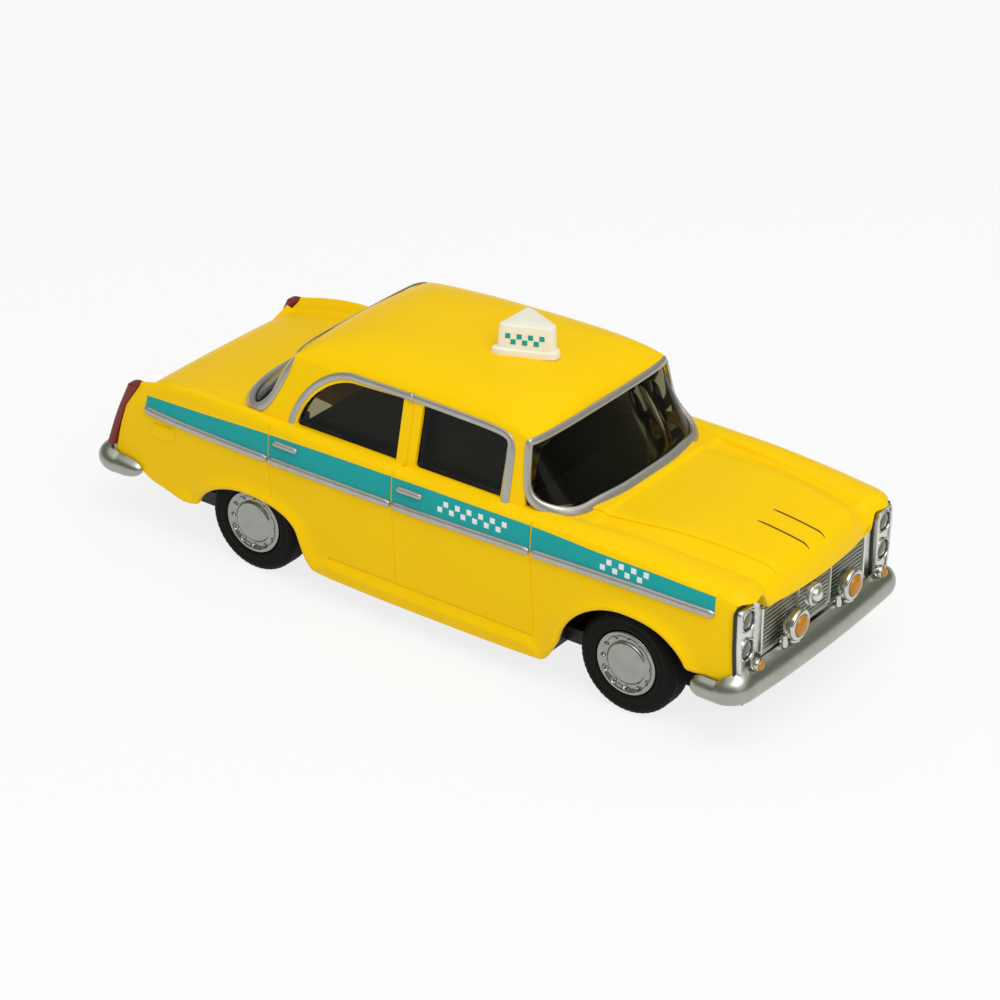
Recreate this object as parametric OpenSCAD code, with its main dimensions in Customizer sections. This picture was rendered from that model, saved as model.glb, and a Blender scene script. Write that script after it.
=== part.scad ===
// Toy taxi: a die-cast saloon car about 73 mm long, in millimetres.
// The car faces +X, its left side is +Y, and Z is up from the ground under the middle of its length.

/* [Body] */
// Distance between the axles
wheelbase = 41; // [39:0.5:43]
// From the front axle to the foremost point
front_overhang = 13.3; // [13:0.1:14.5]
// From the rear axle to the rearmost point
rear_overhang = 18.9; // [18.6:0.1:20]
// Width of the casting across the doors
body_w = 25.3; // [24.9:0.1:26]
// Height of the sill's lower edge
sill_z = 2.4; // [2.2:0.1:2.6]
// Height of the belt line at the doors
belt_z = 15.45; // [15.2:0.05:15.7]
// Height of the wing tops and fins
wing_z = 16.4; // [16.2:0.05:16.6]
// Height of the bonnet on the centre line
hood_z = 16.6; // [16.4:0.05:16.8]
// Height of the boot lid at its rear edge
tail_z = 14.35; // [14.1:0.05:14.6]
// Height of the roof's crown
roof_z = 24.65; // [24.4:0.05:25]
// Wall of the casting
wall = 1; // [0.8:0.05:1.1]

/* [Cabin] */
// Step of the shoulder from the doors in to the cabin
shoulder_w = 1.1; // [0.95:0.05:1.25]
// Lean of the cabin's sides from the belt in to the roof rails
cabin_lean = 1.3; // [1.1:0.05:1.5]
// Height of the roof rails
rail_z = 22.6; // [22.4:0.05:22.8]
// Foot of the windscreen behind the front axle
cowl_back = 5.3; // [5:0.1:5.6]
// Windscreen pillars behind the front axle
pillar_back = 11.4; // [11:0.1:11.8]
// Depth of the windscreen's bow at its head
header_bow = 0.5; // [0.4:0.05:0.8]
// Rear pillars ahead of the rear axle
rear_pillar_ahead = 2.9; // [2.6:0.1:3.2]
// Foot of the rear window behind the rear axle
backlight_back = 3.4; // [3:0.1:3.8]
// Lower edge of the side windows
window_sill_z = 16.4; // [16.3:0.05:16.6]
// Upper edge of the side windows
window_head_z = 22; // [21.8:0.05:22.1]
// Middle of the door post behind the front axle
post_back = 23.6; // [23.2:0.1:24]
// Width of the door post between the windows
post_w = 2; // [1.8:0.1:2.4]

/* [Wheels] */
// Outside diameter of the tyres
tyre_d = 9.8; // [9.4:0.1:10]
// Width of the tyres
tyre_w = 3; // [2.7:0.1:3.1]
// Diameter of the wheel discs
rim_d = 6; // [5.6:0.1:6.4]
// Distance from the doors in to the wheels' outer faces
wheel_set = 1.2; // [1.15:0.05:1.35]
// Diameter of the axles
axle_d = 1.4; // [1.2:0.05:1.6]
// Radial play of the axles in the chassis
axle_play = 0.05; // [0.03:0.01:0.08]
// Radial room round each wheel in its well
well_room = 0.9; // [0.7:0.1:1]

/* [Front and rear] */
// Fender edge behind the foremost point
fender_set = 2.2; // [2.1:0.05:2.4]
// Lip of the bonnet behind the foremost point
lip_set = 1.05; // [0.95:0.05:1.2]
// Height of the bonnet's lip
lip_z = 12.95; // [12.8:0.05:13.1]
// Thickness of the grille plate
grille_t = 0.9; // [0.7:0.1:1]
// Number of grille bars
grille_bars = 11; // [7:1:13]
// Lower edge of the grille
grille_z = 6.5; // [6.4:0.05:6.7]
// Diameter of the headlamps
lamp_d = 2; // [1.8:0.1:2.1]
// Height of the lower headlamps
lamp_low_z = 10.3; // [10.2:0.05:10.5]
// Height of the upper headlamps
lamp_high_z = 13; // [12.9:0.05:13.1]
// Distance from the doors in to the headlamps' centres
lamp_set = 2.05; // [2:0.05:2.15]
// Diameter of the fog lamps
fog_d = 2.6; // [2.4:0.1:2.8]
// Height of the fog lamps' centres above the bumper
fog_rise = 1.55; // [1.5:0.05:1.7]
// Distance between the fog lamps' centres
fog_span = 8.6; // [8.2:0.1:9]
// Height of the bumpers' lower edge
bumper_z = 5.35; // [5.3:0.05:5.5]
// Height of the front bumper's blade
front_blade_h = 3; // [2.8:0.1:3.1]
// Height of the rear bumper's blade
rear_blade_h = 2.6; // [2.4:0.1:2.8]
// Depth of the bumper blades
blade_t = 1.6; // [1.4:0.1:1.7]
// Width of the tail lamps
tail_lamp_w = 1.35; // [1.2:0.05:1.5]

/* [Roof sign] */
// Width of the sign across its rear corners
sign_w = 4.6; // [4.2:0.1:5]
// Length of the sign from its rear face to its point
sign_l = 4.7; // [4.3:0.1:5]
// Height of the sign above the roof
sign_h = 2.75; // [2.4:0.05:3]
// Middle of the sign ahead of the cabin's middle
sign_ahead = 6.4; // [5.8:0.1:6.6]
// Step of the sign's foot
sign_foot = 0.35; // [0.25:0.05:0.45]
// Diameter of the sign's peg
sign_peg_d = 1.2; // [1:0.1:1.4]

/* [Chassis and inside] */
// Height of the chassis underside
chassis_z = 2.6; // [2.5:0.05:2.7]
// Thickness of the chassis plate
chassis_t = 1.4; // [1.2:0.1:1.6]
// Thickness of the glazing
glass_t = 0.7; // [0.6:0.05:0.8]
// Thickness of the interior moulding
tub_t = 0.8; // [0.7:0.05:0.9]
// Diameter of the base screws
screw_d = 1.2; // [1:0.1:1.4]
// Diameter of the screw heads
screw_head_d = 2.4; // [2.2:0.1:2.6]
// Clearance between pieces that are assembled
fit = 0.08; // [0.06:0.01:0.1]

/* [Hidden] */
$fn = 40;
overall_l = front_overhang + wheelbase + rear_overhang;
front_x = overall_l / 2 - front_overhang;
rear_x = front_x - wheelbase;
axle_z = tyre_d / 2;
track_w = body_w - 2 * wheel_set;
wheel_in = track_w / 2 - tyre_w;
well_r = tyre_d / 2 + well_room;
well_side = 0.45;
well_out = track_w / 2 + well_side;
cabin_w = body_w - 2 * shoulder_w;
rail_w = cabin_w - 2 * cabin_lean;
lamp_span = body_w - 2 * lamp_set;
cut = 60;

// Long stations of the casting; the boot lid ends ahead of the rearmost point
deck_set = 5.9;
lip_x = front_x + front_overhang - lip_set;
fender_x = front_x + front_overhang - fender_set;
grille_x = fender_x - grille_t;
deck_x = rear_x - rear_overhang + deck_set;
mid_x = (front_x + rear_x) / 2;
pillar_x = front_x - pillar_back;
cowl_x = front_x - cowl_back;
rear_pillar_x = rear_x + rear_pillar_ahead;
backlight_x = rear_x - backlight_back;
post_x = front_x - post_back;
cabin_x = (pillar_x + rear_pillar_x) / 2;
hw = body_w / 2;

// Feature lines: how each runs along the car, as [x, value] keys
narrow_keys = [
    [deck_x - 4, 1.05], [deck_x + 1, 0.65], [rear_x - 4, 0.25], [rear_x + 8, 0.02], [front_x - 6, 0],
    [front_x + 4, 0.1], [fender_x, 0.35], [lip_x, 0.6]
];
belt_keys = [
    [deck_x, belt_z - 1.15], [rear_x - 5, belt_z - 0.75], [rear_x + 3, belt_z - 0.3], [mid_x, belt_z],
    [front_x - 8, belt_z + 0.05], [front_x + 4, belt_z - 0.25], [fender_x, belt_z - 0.6]
];
wing_keys = [
    [deck_x - 1, tail_z + 0.2], [deck_x + 0.6, tail_z + 0.65], [rear_x - 8, wing_z - 0.4],
    [rear_x - 4, wing_z - 0.1], [mid_x, wing_z - 0.05], [front_x - 8, wing_z + 0.05], [front_x, wing_z],
    [front_x + 6, wing_z - 0.4], [fender_x - 0.6, wing_z - 0.85], [lip_x, wing_z - 1]
];
wing_in_keys = [[deck_x, 0.5], [rear_x, 0.95], [front_x - 8, 1.6], [lip_x, 1.7]];
valley_keys = [
    [deck_x, 0.85], [rear_x - 7, 0.7], [rear_x - 1, 0.4], [mid_x, 0.35], [front_x, 0.4], [lip_x, 0.3]
];
lid_keys = [
    [deck_x - 1, tail_z - 0.25], [deck_x, tail_z], [deck_x + 1, tail_z + 0.35], [rear_x - 8, tail_z + 1.15],
    [rear_x - 3, tail_z + 1.65], [mid_x, hood_z - 0.3], [front_x - 6, hood_z - 0.2], [front_x + 1, hood_z],
    [front_x + 6.2, hood_z - 0.2], [front_x + 9, hood_z - 0.5], [lip_x, hood_z - 1.05]
];
sill_tuck = 0.85;
rocker_tuck = 0.4;
rocker_h = 2.3;
waist_z = 9.2;
trim_z = belt_z - 2.6;
shoulder_drop = 0.35;
crease_in = 4.4;
lid_crown = 0.15;

// Rolled front edge: how far each line of the section drops and lies back at the lip
roll_r = 1.7;
roll_share = [0, 0, 0, 0, 0.25, 0.6, 0.75, 1, 1.5, 1.55, 1.58];
nose_set = [-1.15, -1.15, -1.15, -1.1, -1, -0.55, -0.15, -0.65, -0.85, -0.25, 0];
// Leaning rear panel: how far each line lies behind the boot lid's edge
tail_set = [-3.6, -3.6, -2.5, -1.4, -0.7, -0.4, -0.3, 0, 0, 0, 0];
tail_round = 0.45;

function clamp01(t) = min(max(t, 0), 1);
function smooth(a, b, x) = let (t = clamp01((x - a) / (b - a))) t * t * (3 - 2 * t);
function mix(a, b, t) = a + (b - a) * t;
function span_of(keys, x, i = 0) = i >= len(keys) - 2 || x < keys[i + 1][0] ? i : span_of(keys, x, i + 1);
function slope(keys, i) =
    let (a = keys[max(i - 1, 0)], b = keys[min(i + 1, len(keys) - 1)]) (b[1] - a[1]) / (b[0] - a[0]);
function hermite(a, b, da, db, t) =
    a * (2 * t ^ 3 - 3 * t ^ 2 + 1) + da * (t ^ 3 - 2 * t ^ 2 + t)
    + b * (3 * t ^ 2 - 2 * t ^ 3) + db * (t ^ 3 - t ^ 2);
function key_at(keys, x) =
    let (i = span_of(keys, x), a = keys[i], b = keys[i + 1], h = b[0] - a[0], t = clamp01((x - a[0]) / h))
    hermite(a[1], b[1], slope(keys, i) * h, slope(keys, i + 1) * h, t);
function curve_at(p, i, t) =
    let (a = p[i], b = p[i + 1], before = p[max(i - 1, 0)], after = p[min(i + 2, len(p) - 1)])
    hermite(a, b, (b - before) / 2, (after - a) / 2, t);
function curve(p, n) = concat(
    [for (i = [0 : len(p) - 2]) for (k = [0 : n - 1]) curve_at(p, i, k / n)],
    [p[len(p) - 1]]
);
function reversed(p) = [for (i = [len(p) - 1 : -1 : 0]) p[i]];
function middle(p) = [for (k = [0 : 2]) sum_of(p, k) / len(p)];
function sum_of(p, k, i = 0) = i == len(p) ? 0 : p[i][k] + sum_of(p, k, i + 1);
function flipped(p) = [for (q = p) [q[0], -q[1], q[2]]];

// Closed skin over a row of rings, capped by fans
module skin(rings) {
    n = len(rings[0]);
    last = len(rings) - 1;
    points = concat([for (r = rings) each r], [middle(rings[0]), middle(rings[last])]);
    first_hub = len(points) - 2;
    polyhedron(points, concat(
        [for (i = [0 : last - 1]) for (k = [0 : n - 1])
            each [[i * n + k, i * n + (k + 1) % n, (i + 1) * n + k],
                  [i * n + (k + 1) % n, (i + 1) * n + (k + 1) % n, (i + 1) * n + k]]],
        [for (k = [0 : n - 1]) [first_hub, (k + 1) % n, k]],
        [for (k = [0 : n - 1]) [first_hub + 1, last * n + k, last * n + (k + 1) % n]]
    ));
}

// Half section of the casting at a station, from the sill to the centre line, drawn in by inset
function half_section(x, inset) =
    let (
        w = hw - key_at(narrow_keys, x) - inset,
        wing = key_at(wing_keys, x) - inset,
        wing_y = w - key_at(wing_in_keys, x),
        lid = key_at(lid_keys, x) - inset,
        valley_y = wing_y - mix(1, 1.4, smooth(rear_x, front_x, x)),
        crease_y = hw - crease_in - inset / 2,
        roll = roll_r - sqrt(max(roll_r ^ 2 - max(x - lip_x + roll_r, 0) ^ 2, 0)),
        nose = smooth(front_x + 4, lip_x, x),
        tail = 1 - smooth(deck_x, rear_x - 6, x),
        base = [
            [w - sill_tuck, sill_z - inset * 3], [w - rocker_tuck, sill_z + rocker_h], [w - 0.08, waist_z],
            [w, trim_z], [w - 0.12, key_at(belt_keys, x) - inset / 2],
            [mix(wing_y, w, 0.62), wing - shoulder_drop], [wing_y, wing],
            [valley_y, wing - key_at(valley_keys, x)], [crease_y, lid - lid_crown],
            [crease_y / 2, lid - lid_crown / 4], [0, lid]
        ]
    )
    [for (j = [0 : len(base) - 1])
        [x + nose * nose_set[j] + tail * tail_set[j], base[j][0], base[j][1] - roll * roll_share[j]]];

function ring_at(x, inset, n) =
    let (half = curve(half_section(x, inset), n))
    concat(flipped(half), [for (i = [len(half) - 2 : -1 : 0]) half[i]]);
function drawn_in(ring, share, dx) =
    let (m = middle(ring))
    [for (p = ring) [p[0] + dx, mix(m[1], p[1], share), mix(m[2], p[2], share)]];
function stations(a, b, n) = [for (i = [0 : n]) mix(a, b, i / n)];

module lower_body() {
    main = stations(deck_x, lip_x - roll_r, 26);
    nose = [for (k = [1 : 5]) lip_x - roll_r * (1 - sin(90 * k / 5))];
    rings = [for (x = concat(main, nose)) ring_at(x, 0, 2)];
    skin(concat([drawn_in(rings[0], 0.96, -tail_round)], rings));
}

module lower_cavity() {
    skin([for (x = stations(deck_x + wall, grille_x - wall, 14)) ring_at(x, wall, 1)]);
}

// Plan outline of the cabin at a share of its height, drawn in by inset
pillar_foot = 0.6;
pillar_lean = 1.1;
tail_bow = 0.7;
rail_taper = 0.5;
function cabin_ring(f, inset, n) =
    let (
        b = mix(cabin_w, rail_w, f) / 2 - inset,
        front = pillar_x - inset,
        bow = mix(cowl_x - pillar_x, header_bow, f),
        back = rear_pillar_x + mix(-pillar_foot, pillar_lean, f) + inset,
        tail = mix(rear_pillar_x - backlight_x, tail_bow, f),
        taper = rail_taper * f,
        quarter = [for (i = [0 : n]) [cos(90 * i / n) ^ 0.69, sin(90 * i / n) ^ 0.69]],
        left = concat(
            [for (q = quarter) [front + bow * q[0], b * q[1]]],
            [for (i = [1 : n]) [mix(front, back, i / n), b - taper * (i / n) ^ 2]],
            [for (i = [n - 1 : -1 : 0]) [back - tail * quarter[i][0], (b - taper) * quarter[i][1]]]
        )
    )
    concat(left, [for (i = [len(left) - 2 : -1 : 1]) [left[i][0], -left[i][1]]]);

roof_front_power = 4.4;
roof_back_power = 2.1;
roof_side_power = 4.2;
roof_edge = 0.45;
corner_blend = 6;
cabin_foot_z = belt_z + 0.35;
wall_top_z = rail_z - 0.4;
function lifted(ring, z) = [for (p = ring) [p[0], p[1], z]];
// Height of the crown over the roof's edge at shares u along and v across the roof
function crown(u, v, power) = max((1 - u ^ power) * (1 - v ^ roof_side_power), 0) ^ roof_edge;
function roof_at(x) = wall_top_z + (roof_z - wall_top_z)
    * crown(clamp01((x - cabin_x) / (pillar_x + header_bow - cabin_x)), 0, roof_front_power);
function roof_point(edge, share, half_w, front_l, back_l, rise) =
    let (
        dx = edge[0] - cabin_x,
        u = min(abs(dx) / (dx > 0 ? front_l : back_l), 1),
        v = min(abs(edge[1]) / half_w, 1),
        power = dx > 0 ? roof_front_power : roof_back_power
    )
    [cabin_x + dx * share, edge[1] * share,
        wall_top_z + rise
            * (crown(u * share, v * share, power) - crown(u, v, power) * share ^ corner_blend)];
function cabin_rings(inset, low_z, n, walls, steps) =
    let (
        top = cabin_ring(1, inset, n),
        rise = roof_z - wall_top_z - inset,
        front_l = pillar_x + header_bow - inset - cabin_x,
        back_l = cabin_x - rear_pillar_x - pillar_lean + tail_bow - inset
    )
    concat(
        low_z < cabin_foot_z ? [lifted(cabin_ring(0, inset, n), low_z)] : [],
        [for (i = [0 : walls]) let (z = mix(max(low_z, cabin_foot_z), wall_top_z, i / walls))
            lifted(cabin_ring((z - cabin_foot_z) / (wall_top_z - cabin_foot_z), inset, n), z)],
        [for (i = [1 : steps]) let (share = cos(88 * i / steps))
            [for (p = top) roof_point(p, share, rail_w / 2 - inset, front_l, back_l, rise)]]
    );

module cabin() {
    difference() {
        skin(reversed(cabin_rings(0, belt_z - 1.5, 12, 4, 8)));
        side_cut(front_window, window_r);
        side_cut(rear_window, window_r);
        side_cut(screen);
        side_cut(backlight);
    }
}

module cabin_cavity() {
    skin(reversed(cabin_rings(wall, sill_z, 8, 4, 5)));
}

// Cut-outs along Y from a side outline, and along X from a front outline
module side_cut(points, r = 0) {
    rotate([90, 0, 0]) linear_extrude(cut, center = true) offset(r) offset(delta = -r) polygon(points);
}

module front_cut(points, x, depth) {
    translate([x, 0, 0]) rotate([90, 0, 90]) linear_extrude(depth) polygon(points);
}

window_r = 0.5;
screen_gap = 0.1;
screen_head_z = wall_top_z - 0.14;
front_window = [
    [post_x + post_w / 2, window_sill_z], [pillar_x - 2, window_sill_z],
    [pillar_x - 1.95, window_head_z - 0.15], [post_x + post_w / 2 + 0.05, window_head_z]
];
quarter_x = rear_pillar_x + 2.3;
rear_window = concat(
    [[post_x - post_w / 2, window_sill_z], [post_x - post_w / 2 - 0.05, window_head_z]],
    [for (a = [0 : 15 : 90]) [
        quarter_x + 5.8 - 5.8 * sin(a) ^ 1.15,
        window_sill_z + (window_head_z - 0.3 - window_sill_z) * cos(a) ^ 1.15
    ]]
);
screen = [
    [pillar_x + screen_gap, cabin_foot_z], [cowl_x + 3, cabin_foot_z],
    [cowl_x + 3, screen_head_z], [pillar_x + screen_gap - 0.05, screen_head_z]
];
backlight = [
    [rear_pillar_x - 1.1, cabin_foot_z], [backlight_x - 3, cabin_foot_z],
    [backlight_x - 3, window_head_z - 0.3], [rear_pillar_x + 0.2, window_head_z - 0.3]
];

// Lower edge of the casting: rear quarter, rear arch, sill, front arch and front wing
front_arch_rx = well_r + 0.75;
front_arch_z = tyre_d + 0.65;
rear_arch_rx = well_r + 0.2;
rear_arch_z = tyre_d - 1.45;
quarter_z = sill_z + 2.35;
fender_foot_z = 6.45;
function arch(x, rx, z0, z1, a0, a1) = [for (i = [0 : 12])
    let (a = mix(a0, a1, i / 12), power = cos(a) < 0 ? 1.1 : 0.8)
    [x + rx * sign(cos(a)) * abs(cos(a)) ^ power, z0 + (z1 - z0) * sin(a) ^ power]];
lower_edge = concat(
    [[deck_x - 9, sill_z - 3], [deck_x - 9, fender_foot_z], [deck_x - 0.4, fender_foot_z]],
    [[deck_x + 1, quarter_z + 0.65], [deck_x + 3.4, quarter_z + 0.2]],
    [[rear_x - rear_arch_rx - 1.4, quarter_z - 0.05]],
    arch(rear_x + 0.2, rear_arch_rx, quarter_z + 0.2, rear_arch_z, 176, 20),
    [[rear_x + rear_arch_rx + 0.9, sill_z + 0.9], [rear_x + rear_arch_rx + 2, sill_z]],
    [[front_x - front_arch_rx - 2, sill_z], [front_x - front_arch_rx - 1.1, sill_z + 0.6]],
    arch(front_x + 0.2, front_arch_rx, sill_z + 2.4, front_arch_z, 174, 18),
    [[fender_x + 3, fender_foot_z + 0.35], [fender_x + 3, sill_z - 3]]
);

// Opening in the nose, below the bonnet's lip and the wing brows
brow_z = wing_z - 1.75;
hood_half = hw - crease_in - fit;
brow_in = hood_half + 0.7;
nose_opening = [
    [-hw - 1, sill_z - 3], [-hw - 1, brow_z], [-brow_in, brow_z], [-hood_half, lip_z], [hood_half, lip_z],
    [brow_in, brow_z], [hw + 1, brow_z], [hw + 1, sill_z - 3]
];
seat_half = hw - wall - 0.55;
nose_seat = [
    [-seat_half, sill_z - 3], [-seat_half, brow_z - 0.35], [-brow_in, brow_z - 0.35], [-hood_half, lip_z],
    [hood_half, lip_z], [brow_in, brow_z - 0.35], [seat_half, brow_z - 0.35], [seat_half, sill_z - 3]
];

// Tail lamps: side outline of the recess and of the lamp
lamp_in = hw - 0.6 - tail_lamp_w;
lamp_seat_z = bumper_z + rear_blade_h;
lamp_foot_z = lamp_seat_z + fit;
lamp_head_z = wing_z - 1.4;
function lamp_z(share) = mix(lamp_foot_z, lamp_head_z, share);
lamp_front = [
    [deck_x + 0.2, lamp_head_z], [deck_x - 1.4, lamp_z(0.655)], [deck_x - 2.45, lamp_z(0.24)],
    [deck_x - 2.95, lamp_foot_z]
];
lamp_back = [
    [deck_x - 1.15, lamp_z(0.95)], [deck_x - 2.7, lamp_z(0.5)], [deck_x - 3.45, lamp_z(0.2)],
    [deck_x - 3.95, lamp_foot_z]
];
lamp_recess = concat(lamp_front, [
    [deck_x - 2.95, lamp_seat_z], [deck_x - 9, lamp_seat_z], [deck_x - 9, cut / 2], [deck_x + 0.2, cut / 2]
]);

handle_l = 2.6;
handle_r = 0.28;
handle_z = belt_z - 0.75;
door_lines = [rear_x + 3.1, post_x - 0.4, front_x - 9.1];
trim_r = 0.38;
trim_keys = [
    [deck_x + 1, trim_z + 1.1], [rear_x - 5, trim_z + 0.45], [rear_x + 3, trim_z], [mid_x, trim_z],
    [front_x, trim_z + 0.5], [fender_x - 2, trim_z + 0.5]
];

module belt_trim() {
    xs = stations(deck_x + 1, fender_x - 2, 9);
    for (side = [-1, 1], i = [0 : len(xs) - 2]) hull() {
        for (x = [xs[i], xs[i + 1]])
            translate([x, side * (hw - key_at(narrow_keys, x)), key_at(trim_keys, x)])
                sphere(trim_r, $fn = 8);
    }
}

module door_handles() {
    for (side = [-1, 1], line = [0, 1]) hull() {
        for (dx = [0.6, 0.6 + handle_l])
            translate([door_lines[line] + dx, side * (hw + 0.05), handle_z])
                sphere(handle_r, $fn = 10);
    }
}

post_r = screw_d / 2 + 0.9;
chassis_top = chassis_z + chassis_t;
// The screw posts stand midway between the axle carriers and the bumper tabs
carrier_l = axle_d + 2.6;
lip_t = 1.2;
tab_end = 0.1;
front_end = grille_x - 0.6;
back_end = deck_x + 2.8;
front_tab_x = front_end - lip_t - tab_end;
rear_tab_x = back_end + lip_t + tab_end;
front_post_x = (front_x + carrier_l / 2 + front_tab_x) / 2;
rear_post_x = (rear_x - carrier_l / 2 + rear_tab_x) / 2;
module screw_posts() {
    for (x = [front_post_x, rear_post_x])
        translate([x, 0, chassis_top + fit])
            difference() {
                cylinder(key_at(lid_keys, x) - wall / 2 - chassis_top - fit, r = post_r, $fn = 24);
                translate([0, 0, -1]) cylinder(screw_l, d = screw_d + 2 * fit, $fn = 24);
            }
}

sign_x = cabin_x + sign_ahead;
module body_shell() {
    color("gold") {
        difference() {
            union() {
                lower_body();
                cabin();
                belt_trim();
                door_handles();
            }
            difference() {
                union() {
                    lower_cavity();
                    cabin_cavity();
                }
                translate([grille_x - wall, -cut / 2, -cut / 2]) cube(cut);
            }
            side_cut(lower_edge);
            front_cut(nose_opening, fender_x - fit, cut);
            front_cut(nose_seat, grille_x - fit, cut);
            for (side = [-1, 1]) {
                translate([0, side * (lamp_in + cut / 2), 0])
                    side_cut(lamp_recess);
                for (x = [front_x, rear_x])
                    translate([x, side * well_out, axle_z]) rotate([side * 90, 0, 0])
                        cylinder(well_out - wheel_in + 1, r = well_r);
            }
            translate([sign_x, 0, rail_z]) cylinder(cut, d = sign_peg_d + 2 * fit, $fn = 24);
        }
        screw_posts();
    }
}

// Clear moulding inside the cabin: one wall that follows the casting
module glazing() {
    outer = cabin_rings(wall + fit, cabin_foot_z + 0.1, 8, 4, 5);
    inner = cabin_rings(wall + fit + glass_t, cabin_foot_z - 1, 8, 4, 5);
    color("lightcyan", 0.5) difference() {
        skin(reversed(outer));
        skin(reversed(inner));
        translate([sign_x, 0, rail_z]) cylinder(cut, d = sign_peg_d + 2 * fit, $fn = 24);
    }
}

// Moulded cabin: floor, side walls, benches, dashboard and steering wheel
tub_gap = 0.85;
tub_w = cabin_w - 2 * (wall + tub_gap);
tub_front = pillar_x - wall;
tub_back = rear_pillar_x + 1.6;
tub_floor = axle_z + axle_d / 2 + 2.6;
tub_top = cabin_foot_z - 0.1;
bench_h = 3;
back_h = 4.8;
back_t = 1.5;
bench_l = 5.2;
bench_w = tub_w - 2 * tub_t - 0.8;
wheel_r = 2;
rim_t = 0.45;
spoke_w = 0.6;
spoke_t = 0.3;
column_l = 3;
column_r = 0.3;
column_tilt = 62;
dash_l = 1.6;
dash_h = 2.2;
stand_l = 2;
stand_w = 6;
module bench(x) {
    translate([x, -bench_w / 2, tub_floor]) cube([bench_l, bench_w, bench_h]);
    translate([x - back_t, -bench_w / 2, tub_floor]) cube([back_t, bench_w, bench_h + back_h]);
}

module interior() {
    color("#1b1b1d") {
        difference() {
            translate([tub_back, -tub_w / 2, tub_floor - tub_t])
                cube([tub_front - tub_back, tub_w, tub_top - tub_floor + tub_t]);
            translate([tub_back + tub_t, -tub_w / 2 + tub_t, tub_floor])
                cube([tub_front - tub_back - 2 * tub_t, tub_w - 2 * tub_t, cut]);
        }
        bench(tub_back + tub_t + back_t);
        bench(post_x - 1.2);
        translate([tub_front - tub_t - dash_l, -tub_w / 2, tub_top - dash_h]) cube([dash_l, tub_w, dash_h]);
        translate([tub_front - tub_t - dash_l / 2, -tub_w / 4, tub_top - dash_h / 2])
        rotate([0, -column_tilt, 0]) {
            cylinder(column_l, r = column_r);
            translate([0, 0, column_l]) rotate_extrude()
                translate([wheel_r, 0]) square([rim_t, rim_t], center = true);
            translate([0, 0, column_l]) cube([spoke_w, 2 * wheel_r, spoke_t], center = true);
        }
        for (x = [tub_back + stand_l, tub_front - 2 * stand_l])
            translate([x, -stand_w / 2, chassis_top + fit])
                cube([stand_l, stand_w, tub_floor - tub_t - chassis_top - fit]);
    }
}

// Base plate with the axle carriers, and holes for the screws
carrier_w = 2 * (wheel_in - 0.5);
plate_w = 2 * (hw - wall - sill_tuck - 0.5);
side_gap = well_r + 2.6;
carrier_roof = 1.2;
bumper_seat_z = bumper_z + 0.25;
module chassis() {
    color("#222222") difference() {
        union() {
            translate([back_end, -carrier_w / 2, chassis_z])
                cube([front_end - back_end, carrier_w, chassis_t]);
            translate([rear_x + side_gap, -plate_w / 2, chassis_z])
                cube([wheelbase - 2 * side_gap, plate_w, chassis_t]);
            for (x = [front_x, rear_x])
                translate([x - carrier_l / 2, -carrier_w / 2, chassis_z])
                    cube([carrier_l, carrier_w, axle_z + axle_d / 2 + carrier_roof - chassis_z]);
            for (x = [front_end - lip_t, back_end])
                translate([x, -carrier_w / 2, chassis_z])
                    cube([lip_t, carrier_w, bumper_seat_z - chassis_z]);
        }
        for (x = [front_x, rear_x])
            translate([x, 0, axle_z]) rotate([90, 0, 0])
                cylinder(cut, r = axle_d / 2 + axle_play, center = true);
        for (x = [front_post_x, rear_post_x]) translate([x, 0, chassis_z]) {
            translate([0, 0, -1]) cylinder(chassis_t + 2, d = screw_d + 2 * fit);
            translate([0, 0, -1]) cylinder(1 + head_t + fit, d = screw_head_d + 2 * fit);
        }
    }
}

head_t = 0.6;
screw_l = 4.2;
module base_screws() {
    color("silver") for (x = [front_post_x, rear_post_x]) translate([x, 0, chassis_z]) difference() {
        union() {
            cylinder(head_t, d = screw_head_d);
            cylinder(screw_l, d = screw_d);
        }
        for (a = [0, 90]) rotate(a) cube([1.5, 0.3, 0.7], center = true);
    }
}

module axle(x) {
    color("silver") translate([x, 0, axle_z]) rotate([90, 0, 0])
        cylinder(track_w - 2 * hub_cap_t, d = axle_d, center = true);
}
module front_axle() { axle(front_x); }
module rear_axle() { axle(rear_x); }

// Wheels: each piece is drawn with its outer face at z = 0 and its inside below
hub_cap_t = 0.7;
tyre_round = 0.7;
barrel_d = rim_d - 0.5;
rim_lip = 0.45;
rim_gap = 0.06;
hub_set = 0.2;
dimples = 12;
dimple_d = 0.36;
module at_wheel(x, side) {
    translate([x, side * track_w / 2, axle_z]) rotate([side * -90, 0, 0]) children();
}

module tyre() {
    rotate_extrude($fn = 64) polygon(concat(
        [[barrel_d / 2, -tyre_w], [barrel_d / 2, -rim_lip]],
        [[rim_d / 2 + rim_gap, -rim_lip], [rim_d / 2 + rim_gap, 0]],
        [for (a = [90 : -15 : 0])
            [tyre_d / 2 - tyre_round + tyre_round * cos(a), -tyre_round + tyre_round * sin(a)]],
        [for (a = [0 : -15 : -90])
            [tyre_d / 2 - tyre_round + tyre_round * cos(a), -tyre_w + tyre_round + tyre_round * sin(a)]]
    ));
}

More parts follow.
